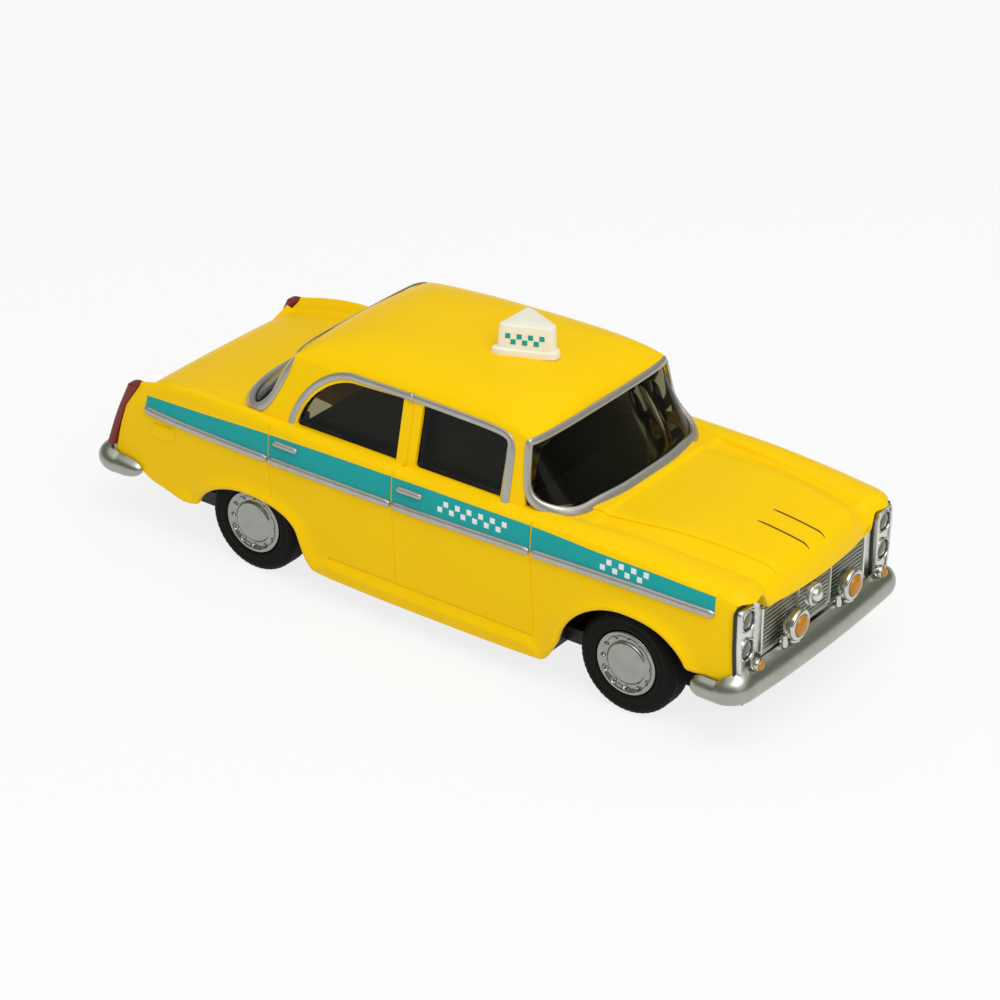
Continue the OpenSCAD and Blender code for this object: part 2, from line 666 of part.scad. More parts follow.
module hub() {
    difference() {
        rotate_extrude($fn = 48) polygon([
            [0, hub_set - tyre_w], [barrel_d / 2, hub_set - tyre_w],
            [barrel_d / 2, -rim_lip], [rim_d / 2, -rim_lip],
            [rim_d / 2, -0.1], [rim_d / 2 - 0.15, 0], [rim_d / 2 - 0.4, -0.02], [rim_d / 2 - 0.7, -0.3],
            [rim_d / 2 - 0.95, -0.32], [rim_d / 2 - 1.1, -0.12], [rim_d / 4, 0], [0, 0.06]
        ]);
        translate([0, 0, -tyre_w]) cylinder(tyre_w - hub_cap_t, d = axle_d);
        for (i = [0 : dimples - 1]) rotate(360 * i / dimples)
            translate([rim_d / 2 - 0.55, 0, -0.5]) cylinder(1, d = dimple_d, $fn = 16);
    }
}

module tyre_front_left() { color("#141414") at_wheel(front_x, 1) tyre(); }
module tyre_front_right() { color("#141414") at_wheel(front_x, -1) tyre(); }
module tyre_rear_left() { color("#141414") at_wheel(rear_x, 1) tyre(); }
module tyre_rear_right() { color("#141414") at_wheel(rear_x, -1) tyre(); }
module hub_front_left() { color("gainsboro") at_wheel(front_x, 1) hub(); }
module hub_front_right() { color("gainsboro") at_wheel(front_x, -1) hub(); }
module hub_rear_left() { color("gainsboro") at_wheel(rear_x, 1) hub(); }
module hub_rear_right() { color("gainsboro") at_wheel(rear_x, -1) hub(); }

// Grille: back plate in the nose, bars, round boss and a bezel round each pair of lamps
bar_t = 0.25;
bar_h = 0.2;
bezel_t = 0.55;
bezel_w = lamp_d + 0.5;
bezel_low = lamp_low_z - lamp_d / 2 - 0.45;
bezel_high = lamp_high_z + lamp_d / 2 + 0.1;
grille_top = lip_z - 0.15;
boss_d = 1.9;
plate_half = seat_half - fit;
module grille_plate() {
    inner = hood_half + fit;
    front_cut([
        [-plate_half, grille_z], [-plate_half, brow_z - 0.45], [-brow_in - 0.1, brow_z - 0.45],
        [-inner, grille_top], [inner, grille_top], [brow_in + 0.1, brow_z - 0.45],
        [plate_half, brow_z - 0.45], [plate_half, grille_z]
    ], grille_x, grille_t);
}

module front_grille() {
    bars_low = bumper_z + front_blade_h + 0.35;
    pitch = (grille_top - 0.3 - bars_low) / (grille_bars - 1);
    color("lightgray") difference() {
        union() {
            grille_plate();
            for (i = [0 : grille_bars - 1])
                translate([fender_x - 0.01, -hood_half, bars_low + i * pitch - bar_h / 2])
                    cube([bar_t, 2 * hood_half, bar_h]);
            translate([fender_x - 0.01, 0, (bars_low + grille_top) / 2]) rotate([0, 90, 0])
                cylinder(0.5, d = boss_d);
            for (side = [-1, 1])
                translate([fender_x - 0.01, side * lamp_span / 2 - bezel_w / 2, bezel_low])
                    cube([bezel_t, bezel_w, bezel_high - bezel_low]);
        }
        for (side = [-1, 1], z = [lamp_low_z, lamp_high_z])
            translate([fender_x, side * lamp_span / 2, z]) rotate([0, 90, 0]) cylinder(cut, d = lamp_d);
    }
}

module headlamp_lenses() {
    lens_r = lamp_d * 0.9;
    lens_rim = lamp_d / 2 - fit;
    color("whitesmoke") for (side = [-1, 1], z = [lamp_low_z, lamp_high_z])
        translate([fender_x + fit / 2, side * lamp_span / 2, z]) rotate([0, 90, 0]) {
            cylinder(0.2, r = lens_rim);
            translate([0, 0, 0.15]) intersection() {
                cylinder(1, r = lens_rim);
                translate([0, 0, 0.35 - lens_r + 0.05]) sphere(lens_r);
            }
        }
}

// Bumpers: a blade swept along a plan path that wraps the corners
seat_gap = 0.02;
blade = [[0, 0.1], [0.45, 0], [0.85, 0.16], [1, 0.42], [0.9, 0.66], [0.55, 0.86], [0, 1]];
function blade_ring(p, dir, depth, low, high) =
    [for (q = blade) [p[0] + dir[0] * q[0] * depth, p[1] + dir[1] * q[0] * depth, mix(low, high, q[1])]];
// Path of a blade's back face: half width, corner radius and length of the side, nose towards +X
blade_bow = 0.35;
blade_thin = 0.45;
function blade_path(half, r, side) = concat(
    [[-r - side, half, 90], [-r - side * 0.5, half, 90]],
    [for (a = [90 : -15 : 0]) [-r + r * cos(a), half - r + r * sin(a), a]],
    [for (t = [0.75 : -0.25 : -0.75]) [blade_bow * (1 - t ^ 2), (half - r) * t, 0]],
    [for (a = [0 : -15 : -90]) [-r + r * cos(a), -half + r + r * sin(a), a]],
    [[-r - side * 0.5, -half, -90], [-r - side, -half, -90]]
);
module blade_sweep(x, way, half, r, side, depth, low, high, end_high) {
    path = blade_path(half, r, side);
    skin([for (p = path) let (
            wrap = (abs(p[2]) / 90) ^ 2,
            d = depth * mix(1, blade_thin, wrap),
            top = mix(high, end_high, wrap),
            ring = blade_ring([x + way * p[0], p[1]], [way * cos(p[2]), sin(p[2])], d, low, top)
        ) way > 0 ? reversed(ring) : ring]);
}

bumper_front_x = fender_x + bar_t + fit;
bumper_half = hw - 0.15;
rear_bumper_half = hw - 0.62;
front_corner_r = 1.6;
rear_corner_r = 1.5;
blade_side = 2.2;
tab_t = 0.6;
tab_bite = 0.3;
tab_z = bumper_seat_z + seat_gap;
front_blade_t = front_overhang - 0.15 - blade_bow - (bumper_front_x - front_x);
tab_w = carrier_w * 0.6;
module front_bumper() {
    color("gainsboro") {
        blade_sweep(bumper_front_x, 1, bumper_half, front_corner_r, blade_side, front_blade_t,
            bumper_z, bumper_z + front_blade_h, fender_foot_z + 0.1);
        translate([front_tab_x, -tab_w / 2, tab_z])
            cube([bumper_front_x + blade_bow + tab_bite - front_tab_x, tab_w, tab_t]);
        for (side = [-1, 1])
            translate([stem_x, side * fog_span / 2, bumper_z + front_blade_h / 2])
                cylinder(front_blade_h / 2, d = stem_d + 0.4);
    }
}

rear_blade_x = rear_x - rear_overhang + blade_t + blade_bow;
module rear_bumper() {
    color("gainsboro") {
        blade_sweep(rear_blade_x, -1, rear_bumper_half, rear_corner_r, blade_side, blade_t,
            bumper_z, bumper_z + rear_blade_h, bumper_z + rear_blade_h * 0.9);
        translate([rear_blade_x - blade_bow - tab_bite, -tab_w / 2, tab_z])
            cube([rear_tab_x - rear_blade_x + blade_bow + tab_bite, tab_w, tab_t]);
    }
}

// Fog lamps on stems that stand on the front bumper
fog_x = front_x + front_overhang;
fog_z = bumper_z + front_blade_h + fog_rise;
lens_dome = 0.45;
fog_l = fog_x - lens_dome - bumper_front_x;
stem_x = fog_x - lens_dome - fog_l * 0.55;
stem_d = 0.8;
lens_seat = 0.25;
fog_rim = 0.15;
module fog_lamp(side) {
    y = side * fog_span / 2;
    color("gainsboro") {
        translate([fog_x - lens_dome - fog_l, y, fog_z]) rotate([0, 90, 0]) difference() {
            cylinder(fog_l, d1 = fog_d * 0.55, d2 = fog_d + 2 * fog_rim);
            translate([0, 0, fog_l - lens_seat]) cylinder(1, d = fog_d);
        }
        translate([stem_x, y, bumper_z + front_blade_h + seat_gap])
            cylinder(fog_z - bumper_z - front_blade_h - fog_d / 4, d = stem_d);
    }
}
module fog_lens(side) {
    r = (fog_d ^ 2 / 4 + lens_dome ^ 2) / (2 * lens_dome);
    color("darkorange") translate([fog_x - lens_dome, side * fog_span / 2, fog_z]) rotate([0, 90, 0]) {
        translate([0, 0, fit / 2 - lens_seat]) cylinder(lens_seat - fit / 2, d = fog_d - 2 * fit);
        intersection() {
            cylinder(lens_dome, d = fog_d - 2 * fit);
            translate([0, 0, lens_dome - r]) sphere(r);
        }
    }
}
module fog_lamp_left() { fog_lamp(1); }
module fog_lamp_right() { fog_lamp(-1); }
module fog_lens_left() { fog_lens(1); }
module fog_lens_right() { fog_lens(-1); }

module tail_lamp(side) {
    outline = concat([for (p = lamp_front) p - [fit, 0]], reversed(lamp_back));
    color("darkred") translate([0, side * (lamp_in + fit + tail_lamp_w / 2), 0])
        rotate([90, 0, 0]) linear_extrude(tail_lamp_w, center = true) polygon(outline);
}
module tail_lamp_left() { tail_lamp(1); }
module tail_lamp_right() { tail_lamp(-1); }

// Wedge-shaped roof sign with a stepped foot and a peg
sign_foot_h = 0.5;
sign_side = 0.6;
sign_nose = 0.5;
module sign_plan(grow, h, z) {
    translate([0, 0, z]) linear_extrude(h)
        polygon([[-sign_l / 2 - grow, sign_w / 2 + grow], [-sign_l / 2 - grow, -sign_w / 2 - grow],
            [sign_side - sign_l / 2, -sign_w / 2 - grow],
            [sign_l / 2 + grow, -sign_nose], [sign_l / 2 + grow, sign_nose],
            [sign_side - sign_l / 2, sign_w / 2 + grow]]);
}
sign_z = roof_at(sign_x - sign_l / 2 - sign_foot) + seat_gap;
module roof_sign() {
    color("ivory") translate([sign_x, 0, sign_z]) {
        sign_plan(0, sign_h, 0);
        sign_plan(sign_foot, sign_foot_h, 0);
        translate([0, 0, -wall - glass_t]) cylinder(wall + glass_t + sign_foot_h, d = sign_peg_d);
    }
}

body_shell();
glazing();
interior();
chassis();
base_screws();
front_axle();
rear_axle();
tyre_front_left();
tyre_front_right();
tyre_rear_left();
tyre_rear_right();
hub_front_left();
hub_front_right();
hub_rear_left();
hub_rear_right();
front_grille();
headlamp_lenses();
front_bumper();
rear_bumper();
fog_lamp_left();
fog_lamp_right();
fog_lens_left();
fog_lens_right();
tail_lamp_left();
tail_lamp_right();
roof_sign();
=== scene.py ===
"""Looks of a small die-cast taxi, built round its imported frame.

Sizes are in millimetres until a mesh is made.
"""

from __future__ import annotations

import logging
import math
from dataclasses import dataclass, field
from enum import Enum
from typing import Any, Sequence

import bmesh
import bpy
import numpy as np
from mathutils import Matrix

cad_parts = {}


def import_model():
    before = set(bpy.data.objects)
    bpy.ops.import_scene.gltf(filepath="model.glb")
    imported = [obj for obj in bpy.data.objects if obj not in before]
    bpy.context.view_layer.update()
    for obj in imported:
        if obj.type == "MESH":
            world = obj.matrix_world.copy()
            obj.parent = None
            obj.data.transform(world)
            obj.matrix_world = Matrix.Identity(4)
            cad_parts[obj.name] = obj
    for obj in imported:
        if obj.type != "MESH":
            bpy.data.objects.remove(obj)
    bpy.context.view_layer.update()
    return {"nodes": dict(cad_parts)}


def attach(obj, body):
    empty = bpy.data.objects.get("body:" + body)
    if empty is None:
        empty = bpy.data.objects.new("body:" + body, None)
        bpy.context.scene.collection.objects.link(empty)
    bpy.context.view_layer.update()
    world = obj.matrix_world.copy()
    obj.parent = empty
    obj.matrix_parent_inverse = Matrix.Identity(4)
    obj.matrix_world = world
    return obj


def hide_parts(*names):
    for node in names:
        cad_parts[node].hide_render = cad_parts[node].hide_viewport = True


LOG = logging.getLogger("taxi")
MM = 0.001
TIP = 0.0001
Array = np.ndarray
Colour = tuple[float, float, float]
Mesh = tuple[Array, list[tuple[int, ...]]]


class Rider(Enum):
    """The bodies of the frame that carry pieces."""

    CAR = "car"
    FRONT = "front_wheels"
    REAR = "rear_wheels"


class Side(Enum):
    """The car's two sides, by the sign of Y."""

    LEFT = 1
    RIGHT = -1

    @property
    def label(self) -> str:
        """The side's word in the names of pieces."""
        return self.name.lower()

    def out(self, count: int, rise: float = 0.0) -> Array:
        """Directions away from the car on this side, one to a row."""
        return np.tile([0.0, self.value, rise], (count, 1))

    def span(self, near: float, far: float) -> tuple[float, float]:
        """Two distances from the middle as low and high places on this side."""
        low, high = sorted((near * self.value, far * self.value))
        return low, high


class Cut(Enum):
    """What a boolean does with the second solid."""

    TAKE = "DIFFERENCE"
    JOIN = "UNION"
    MEET = "INTERSECT"


def mix(a: Any, b: Any, t: Any) -> Any:
    """Value between a and b at share t."""
    return a + (b - a) * t


def smooth(a: float, b: float, x: Any) -> Array:
    """Soft step from 0 at a to 1 at b."""
    t = np.clip((np.asarray(x, float) - a) / (b - a), 0, 1)
    return t * t * (3 - 2 * t)


def between(rise: tuple[float, float], fall: tuple[float, float], x: Any) -> Array:
    """Soft step up over one stretch and down again over another."""
    return smooth(*rise, x) * (1 - smooth(*fall, x))


def hermite(a: Any, b: Any, da: Any, db: Any, t: Any) -> Any:
    """Cubic from a to b with end slopes da and db, at share t."""
    return (
        a * (2 * t**3 - 3 * t**2 + 1)
        + da * (t**3 - 2 * t**2 + t)
        + b * (3 * t**2 - 2 * t**3)
        + db * (t**3 - t**2)
    )


def resample(path: Array, step: float) -> Array:
    """Points at even distances along a path.

    Args:
        path: the path's points, one to a row.
        step: distance between the new points.

    Returns:
        The new points, ends included.
    """
    run = np.concatenate([[0], np.cumsum(np.linalg.norm(np.diff(path, axis=0), axis=1))])
    at = np.linspace(0, run[-1], max(int(round(run[-1] / step)), 2) + 1)
    return np.stack([np.interp(at, run, path[:, k]) for k in range(path.shape[1])], axis=1)


def softened(path: Array, rounds: int) -> Array:
    """Path with its corners cut a number of times, ends kept."""
    for _ in range(rounds):
        a, b = path[:-1], path[1:]
        inner = np.stack([a * 0.75 + b * 0.25, a * 0.25 + b * 0.75], axis=1).reshape(-1, path.shape[1])
        path = np.concatenate([path[:1], inner[1:-1], path[-1:]])
    return path


def rounded(corners: Sequence[tuple[float, float]], radius: float | Sequence[float], steps: int = 6) -> Array:
    """Closed outline with an arc-like curve at each corner.

    Args:
        corners: the corners of the outline.
        radius: how far each curve starts from its corner, one for all or one each.
        steps: points on each curve.

    Returns:
        The outline's points.
    """
    p = np.array(corners, float)
    radii = np.full(len(p), radius, float) if np.isscalar(radius) else np.array(radius, float)
    out: list[Array] = []
    for i, corner in enumerate(p):
        before, after = p[i - 1] - corner, p[(i + 1) % len(p)] - corner
        la, lb = np.linalg.norm(before), np.linalg.norm(after)
        r = min(radii[i], la * 0.49, lb * 0.49)
        a, b = corner + before / la * r, corner + after / lb * r
        for t in np.linspace(0, 1, steps + 1):
            out.append(a * (1 - t) ** 2 + corner * 2 * t * (1 - t) + b * t**2)
    return np.array(out)


@dataclass(frozen=True)
class Keys:
    """A feature line along the car, as (station, value) keys joined by smooth curves."""

    rows: tuple[tuple[float, float], ...]

    def at(self, x: Any) -> Array:
        """Values of the line at stations x."""
        k = np.array(self.rows)
        xs, vs = k[:, 0], k[:, 1]
        n = len(xs)
        lo, hi = np.maximum(np.arange(n) - 1, 0), np.minimum(np.arange(n) + 1, n - 1)
        slope = (vs[hi] - vs[lo]) / (xs[hi] - xs[lo])
        x = np.asarray(x, float)
        i = np.clip(np.searchsorted(xs, x, side="right") - 1, 0, n - 2)
        h = xs[i + 1] - xs[i]
        return hermite(vs[i], vs[i + 1], slope[i] * h, slope[i + 1] * h, np.clip((x - xs[i]) / h, 0, 1))


@dataclass(frozen=True)
class Stations:
    """Main places of the car."""

    front_axle: float = 23.3
    rear_axle: float = -17.7
    axle_z: float = 4.9
    lip: float = 35.55
    fender: float = 34.4
    grille: float = 33.5
    deck: float = -30.7
    pillar: float = 11.9
    cowl: float = 18.0
    rear_pillar: float = -14.8
    backlight: float = -21.1
    post: float = -0.3
    cabin: float = -1.45
    half_w: float = 12.65
    wall: float = 1.0
    door_lines: tuple[float, float, float] = (-14.6, -0.7, 14.2)


AT = Stations()


class Wire:
    """A shader socket that takes part in Python expressions."""

    def __init__(self, shop: Shop, socket: bpy.types.NodeSocket | None) -> None:
        """Keeps the tree and the socket."""
        self.shop = shop
        self.socket = socket

    def _maths(self, operation: str, other: Any) -> Wire:
        """Adds one Math node for this value and another."""
        return self.shop.add("ShaderNodeMath", {"operation": operation}, {0: self, 1: other})

    def __add__(self, other: Any) -> Wire:
        """Sum of two values."""
        return self._maths("ADD", other)

    def __mul__(self, other: Any) -> Wire:
        """Product of two values."""
        return self._maths("MULTIPLY", other)

    def over(self, other: Any) -> Wire:
        """The larger of two values."""
        return self._maths("MAXIMUM", other)


class Shop:
    """Adds nodes to the tree of one material or world."""

    def __init__(self, owner: bpy.types.Material | bpy.types.World) -> None:
        """Empties the owner's tree."""
        owner.use_nodes = True
        self.owner = owner
        self.tree = owner.node_tree
        self.tree.nodes.clear()

    @classmethod
    def named(cls, name: str) -> Shop:
        """Starts a new material."""
        return cls(bpy.data.materials.new(name))

    def add(
        self,
        kind: str,
        settings: dict[str, Any] | None = None,
        values: dict[Any, Any] | None = None,
        out: Any = 0,
    ) -> Wire:
        """Adds a node.

        Args:
            kind: the node's type.
            settings: its properties, set first.
            values: values or wires for its inputs, by index or name.
            out: the output that is wanted.

        Returns:
            A wire from that output.
        """
        node = self.tree.nodes.new(kind)
        for key, value in (settings or {}).items():
            setattr(node, key, value)
        for key, value in (values or {}).items():
            if isinstance(value, Wire):
                self.tree.links.new(value.socket, node.inputs[key])
            elif isinstance(value, tuple) and len(value) == 3 and len(node.inputs[key].default_value) == 4:
                node.inputs[key].default_value = (*value, 1.0)
            else:
                node.inputs[key].default_value = value
        return Wire(self, node.outputs[out] if node.outputs else None)

    def place(self) -> Wire:
        """Coordinates that stay with the piece, in metres."""
        return self.add("ShaderNodeTexCoord", out="Object")

    def cloud(self, size: float, detail: float = 2.0, rough: float = 0.5) -> Wire:
        """Soft noise whose blotches are about size millimetres across."""
        return self.add(
            "ShaderNodeTexNoise",
            None,
            {"Vector": self.place(), "Scale": 1 / (size * MM), "Detail": detail, "Roughness": rough},
        )

    def seen(self) -> Wire:
        """One for rays that show a thing directly, in a reflection or through a pane, else nought."""
        camera, glossy, through = (
            self.add("ShaderNodeLightPath", out=f"Is {kind} Ray")
            for kind in ("Camera", "Glossy", "Transmission")
        )
        return camera.over(glossy).over(through)

    def blend(self, share: Any, a: Any, b: Any) -> Wire:
        """Colour between a and b."""
        return self.add("ShaderNodeMix", {"data_type": "RGBA"}, {0: share, 6: a, 7: b}, 2)

    def bump(self, height: Wire, depth: float) -> Wire:
        """Normal of a surface with a relief of depth millimetres."""
        return self.add("ShaderNodeBump", None, {"Distance": depth * MM, "Height": height})

    def surface(self, shader: Wire) -> bpy.types.Material:
        """Ends the tree with a shader and gives the material."""
        self.add("ShaderNodeOutputMaterial", None, {"Surface": shader})
        return self.owner

    def principled(self, values: dict[str, Any]) -> bpy.types.Material:
        """Ends the tree with one principled shader and gives the material."""
        return self.surface(self.add("ShaderNodeBsdfPrincipled", None, values))


@dataclass(frozen=True)
class Lacquer:
    """Sprayed gloss paint: a base colour that deepens in soft clouds, under a clear coat."""

    name: str
    colour: Colour
    deep: Colour
    roughness: float = 0.36
    coat: float = 0.055
    coat_roughness: float = 0.1
    gloss: float = 0.06
    peel: float = 0.004

    def material(self) -> bpy.types.Material:
        """Builds the finish."""
        shop = Shop.named(self.name)
        drift = shop.cloud(9.0, 3.0) * 0.7 + shop.cloud(0.5) * 0.3
        peel = shop.cloud(0.35, 1.0)
        return shop.principled(
            {
                "Base Color": shop.blend(drift, self.colour, self.deep),
                "Roughness": shop.cloud(2.5, 4.0) * 0.12 + (self.roughness - 0.06),
                "Specular IOR Level": self.gloss,
                "Coat Weight": self.coat,
                "Coat Roughness": self.coat_roughness,
                "Normal": shop.bump(peel, self.peel),
            }
        )


@dataclass(frozen=True)
class Plating:
    """Bright metal: plating, silver trim paint or bare steel, with a faint haze and fine marks."""

    name: str
    colour: Colour
    haze: Colour
    roughness: float = 0.16
    metal: float = 1.0
    relief: float = 0.003
    mark: float = 0.6

    def material(self) -> bpy.types.Material:
        """Builds the finish."""
        shop = Shop.named(self.name)
        cloud = shop.cloud(1.6, 4.0, 0.6)
        fine = shop.cloud(self.mark, 3.0)
        return shop.principled(
            {
                "Base Color": shop.blend(cloud, self.colour, self.haze),
                "Metallic": self.metal,
                "Roughness": cloud * 0.16 + fine * 0.08 + (self.roughness - 0.12),
                "Normal": shop.bump(fine, self.relief),
            }
        )


@dataclass(frozen=True)
class Moulding:
    """Moulded plastic or rubber with a fine grain."""

    name: str
    colour: Colour
    worn: Colour
    roughness: float = 0.5
    grain: float = 0.25
    relief: float = 0.01
    coat: float = 0.0
    gloss: float = 0.3

    def material(self) -> bpy.types.Material:
        """Builds the finish."""
        shop = Shop.named(self.name)
        wear = shop.cloud(3.0, 4.0, 0.6)
        grain = shop.cloud(self.grain, 2.0)
        return shop.principled(
            {
                "Base Color": shop.blend(wear, self.colour, self.worn),
                "Roughness": wear * 0.14 + grain * 0.06 + (self.roughness - 0.1),
                "Coat Weight": self.coat,
                "Coat Roughness": 0.08,
                "Specular IOR Level": self.gloss,
                "Normal": shop.bump(grain, self.relief),
            }
        )


@dataclass(frozen=True)
class ClearSheet:
    """Thin clear plastic: see-through, with gloss that grows towards its edges."""

    name: str
    tint: Colour = (0.50, 0.48, 0.35)
    gloss: float = 0.05

    def material(self) -> bpy.types.Material:
        """Builds the finish."""
        shop = Shop.named(self.name)
        ripple = shop.bump(shop.cloud(5.0, 1.0), 0.003)
        through = shop.add("ShaderNodeBsdfTransparent", None, {"Color": self.tint})
        shine = shop.add("ShaderNodeBsdfGlossy", None, {"Roughness": self.gloss, "Normal": ripple})
        share = shop.add("ShaderNodeFresnel", None, {"IOR": 1.27, "Normal": ripple})
        return shop.surface(shop.add("ShaderNodeMixShader", None, {0: share, 1: through, 2: shine}))


YELLOW = Lacquer("yellow_lacquer", (0.97, 0.625, 0.0), (0.90, 0.555, 0.0))
TEAL = Lacquer("teal_band", (0.014, 0.375, 0.36), (0.008, 0.32, 0.315), 0.35, 0.1)
WHITE = Lacquer("white_print", (0.82, 0.84, 0.82), (0.74, 0.77, 0.75), 0.4, 0.1)
BROWN = Lacquer("brown_line", (0.16, 0.07, 0.01), (0.11, 0.05, 0.01), 0.4, 0.1)
SILVER = Plating("silver_trim", (0.50, 0.49, 0.45), (0.38, 0.37, 0.33), 0.33, 0.7)
CHROME = Plating("chrome_plate", (0.66, 0.67, 0.62), (0.50, 0.515, 0.46), 0.16, 1.0, 0.001)
# Darker, greener copy of the chrome plating for the bumpers: painted shade that darkens their reflections.
BUMPER = Plating("bumper_plate", (0.42, 0.435, 0.375), (0.34, 0.355, 0.295), 0.33, 1.0, 0.0006, 1.4)
# Paler copy of the chrome plating for the grille: painted highlight that lightens the bars.
GRILLE = Plating("grille_plate", (0.80, 0.81, 0.77), (0.62, 0.63, 0.58), 0.3, 1.0, 0.001)
# Dark plating for the sheet on the grille's recess floor: painted shade between the bars.
GRILLE_PAINTED_SHADE = Plating("grille_shade", (0.15, 0.155, 0.14), (0.09, 0.095, 0.085), 0.4)
STEEL = Plating("axle_steel", (0.55, 0.55, 0.55), (0.4, 0.4, 0.4), 0.3)
HUB = Plating("hub_plate", (0.38, 0.395, 0.365), (0.27, 0.285, 0.26), 0.2)
RUBBER = Moulding("tyre_rubber", (0.004, 0.004, 0.0035), (0.009, 0.0085, 0.007), 0.62, 0.3, 0.015, 0.0, 0.1)
TRIM_BLACK = Moulding("cabin_plastic", (0.012, 0.011, 0.010), (0.020, 0.019, 0.016), 0.5)
# Black plastic of the base; the same finish makes the dark ring behind each lamp bezel, which is painted
# shadow.
BLACK_BASE_AND_SHADE = Moulding("base_plastic", (0.016, 0.016, 0.016), (0.026, 0.025, 0.024), 0.45)
IVORY = Moulding("ivory_plastic", (0.88, 0.86, 0.74), (0.83, 0.80, 0.66), 0.35, 0.4, 0.006, 0.1)
AMBER = Moulding("amber_lens", (0.52, 0.215, 0.003), (0.40, 0.145, 0.002), 0.2, 0.4, 0.004, 0.6)
RED = Moulding("red_lens", (0.22, 0.004, 0.003), (0.15, 0.002, 0.002), 0.22, 0.4, 0.004, 0.3)
# Headlamp lenses: opaque dark colour, painted shade and dark reflection of the plated bowls behind the clear
# lenses.
LAMP_LENS_PAINTED_SHADE = Moulding("lamp_glass", (0.05, 0.045, 0.03), (0.10, 0.09, 0.06), 0.15, 0.3, 0.01, 0.8, 0.5)
GLASS = ClearSheet("window_clear")
Finish = Lacquer | Plating | Moulding | ClearSheet


def placed(name: str, data: Any) -> bpy.types.Object:
    """New object of some data, linked to the scene."""
    made = bpy.data.objects.new(name, data)
    bpy.context.scene.collection.objects.link(made)
    return made


class Bench:
    """Makes objects from meshes, cuts and joins them, and shows them as pieces."""

    def __init__(self) -> None:
        """Starts with no finishes mixed."""
        self.mixed: dict[str, bpy.types.Material] = {}

    def finish(self, finish: Finish) -> bpy.types.Material:
        """The material of a finish, built once."""
        if finish.name not in self.mixed:
            self.mixed[finish.name] = finish.material()
        return self.mixed[finish.name]

    def solid(self, name: str, mesh: Mesh) -> bpy.types.Object:
        """Makes an object from points in millimetres.

        Args:
            name: the object's name.
            mesh: points and faces of a closed surface.

        Returns:
            The object, with its faces turned outwards.
        """
        points, faces = mesh
        data = bpy.data.meshes.new(name)
        data.from_pydata((np.asarray(points) * MM).tolist(), [], faces)
        work = bmesh.new()
        work.from_mesh(data)
        bmesh.ops.remove_doubles(work, verts=work.verts, dist=1e-8)
        bmesh.ops.recalc_face_normals(work, faces=work.faces)
        if work.calc_volume(signed=True) < 0:
            bmesh.ops.reverse_faces(work, faces=work.faces)
        work.to_mesh(data)
        work.free()
        return placed(name, data)

    def apply(
        self,
        target: bpy.types.Object,
        others: Sequence[bpy.types.Object],
        cut: Cut,
    ) -> bpy.types.Object:
        """Cuts other solids out of a solid, or joins them to it.

        Args:
            target: the solid that is kept.
            others: the solids that are used up.
            cut: what happens to them.

        Returns:
            The target.
        """
        for other in others:
            step = target.modifiers.new("step", "BOOLEAN")
            step.operation, step.solver, step.object = cut.value, "MANIFOLD", other
            bpy.context.view_layer.update()
            ready = target.evaluated_get(bpy.context.evaluated_depsgraph_get())
            data = bpy.data.meshes.new_from_object(ready)
            target.modifiers.remove(step)
            old, target.data = target.data, data
            bpy.data.meshes.remove(old)
            gone = other.data
            bpy.data.objects.remove(other)
            bpy.data.meshes.remove(gone)
        return target

    def show(
        self,
        piece: bpy.types.Object,
        finish: Finish,
        slot: str,
        rider: Rider = Rider.CAR,
        stands_for: Sequence[str] = (),
        crease: float = 35.0,
    ) -> bpy.types.Object:
        """Dresses a piece and sets it on its body.

        Args:
            piece: the object.
            finish: its finish.
            slot: name of a material slot; not used.
            rider: the body it moves with.
            stands_for: the frame's nodes it replaces.
            crease: angle in degrees above which an edge stays sharp.

        Returns:
            The piece.
        """
        piece.data.materials.clear()
        piece.data.materials.append(self.finish(finish))
        piece.data.shade_smooth()
        piece.data.set_sharp_from_angle(angle=math.radians(crease))
        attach(piece, rider.value)
        if stands_for:
            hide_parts(*stands_for)
        LOG.info("%s: %d faces", piece.name, len(piece.data.polygons))
        return piece

    def piece(self, name: str, mesh: Mesh, finish: Finish, slot: str, **more: Any) -> bpy.types.Object:
        """Makes a solid and shows it, with more settings as show takes them."""
        return self.show(self.solid(name, mesh), finish, slot, **more)


def merged(meshes: Sequence[Mesh]) -> Mesh:
    """Several surfaces as one."""
    faces: list[tuple[int, ...]] = []
    start = 0
    for points, added in meshes:
        faces += [tuple(v + start for v in face) for face in added]
        start += len(points)
    return np.concatenate([points for points, _ in meshes]), faces


def skin(rings: Array) -> Mesh:
    """Closed surface over a row of rings of equal counts, capped by fans."""
    rows, n = rings.shape[:2]
    points = np.concatenate([rings.reshape(-1, 3), rings[0].mean(0)[None], rings[-1].mean(0)[None]])
    faces: list[tuple[int, ...]] = []
    for i in range(rows - 1):
        for k in range(n):
            j = (k + 1) % n
            faces.append((i * n + k, i * n + j, (i + 1) * n + j, (i + 1) * n + k))
    first, last = rows * n, rows * n + 1
    for k in range(n):
        j = (k + 1) % n
        faces.append((first, j, k))
        faces.append((last, (rows - 1) * n + k, (rows - 1) * n + j))
    return points, faces


def hoop(rings: Array) -> Mesh:
    """Closed surface over rings that run round and meet themselves."""
    rows, n = rings.shape[:2]
    faces = [
        (i * n + k, i * n + (k + 1) % n, (i + 1) % rows * n + (k + 1) % n, (i + 1) % rows * n + k)
        for i in range(rows)
        for k in range(n)
    ]
    return rings.reshape(-1, 3), faces


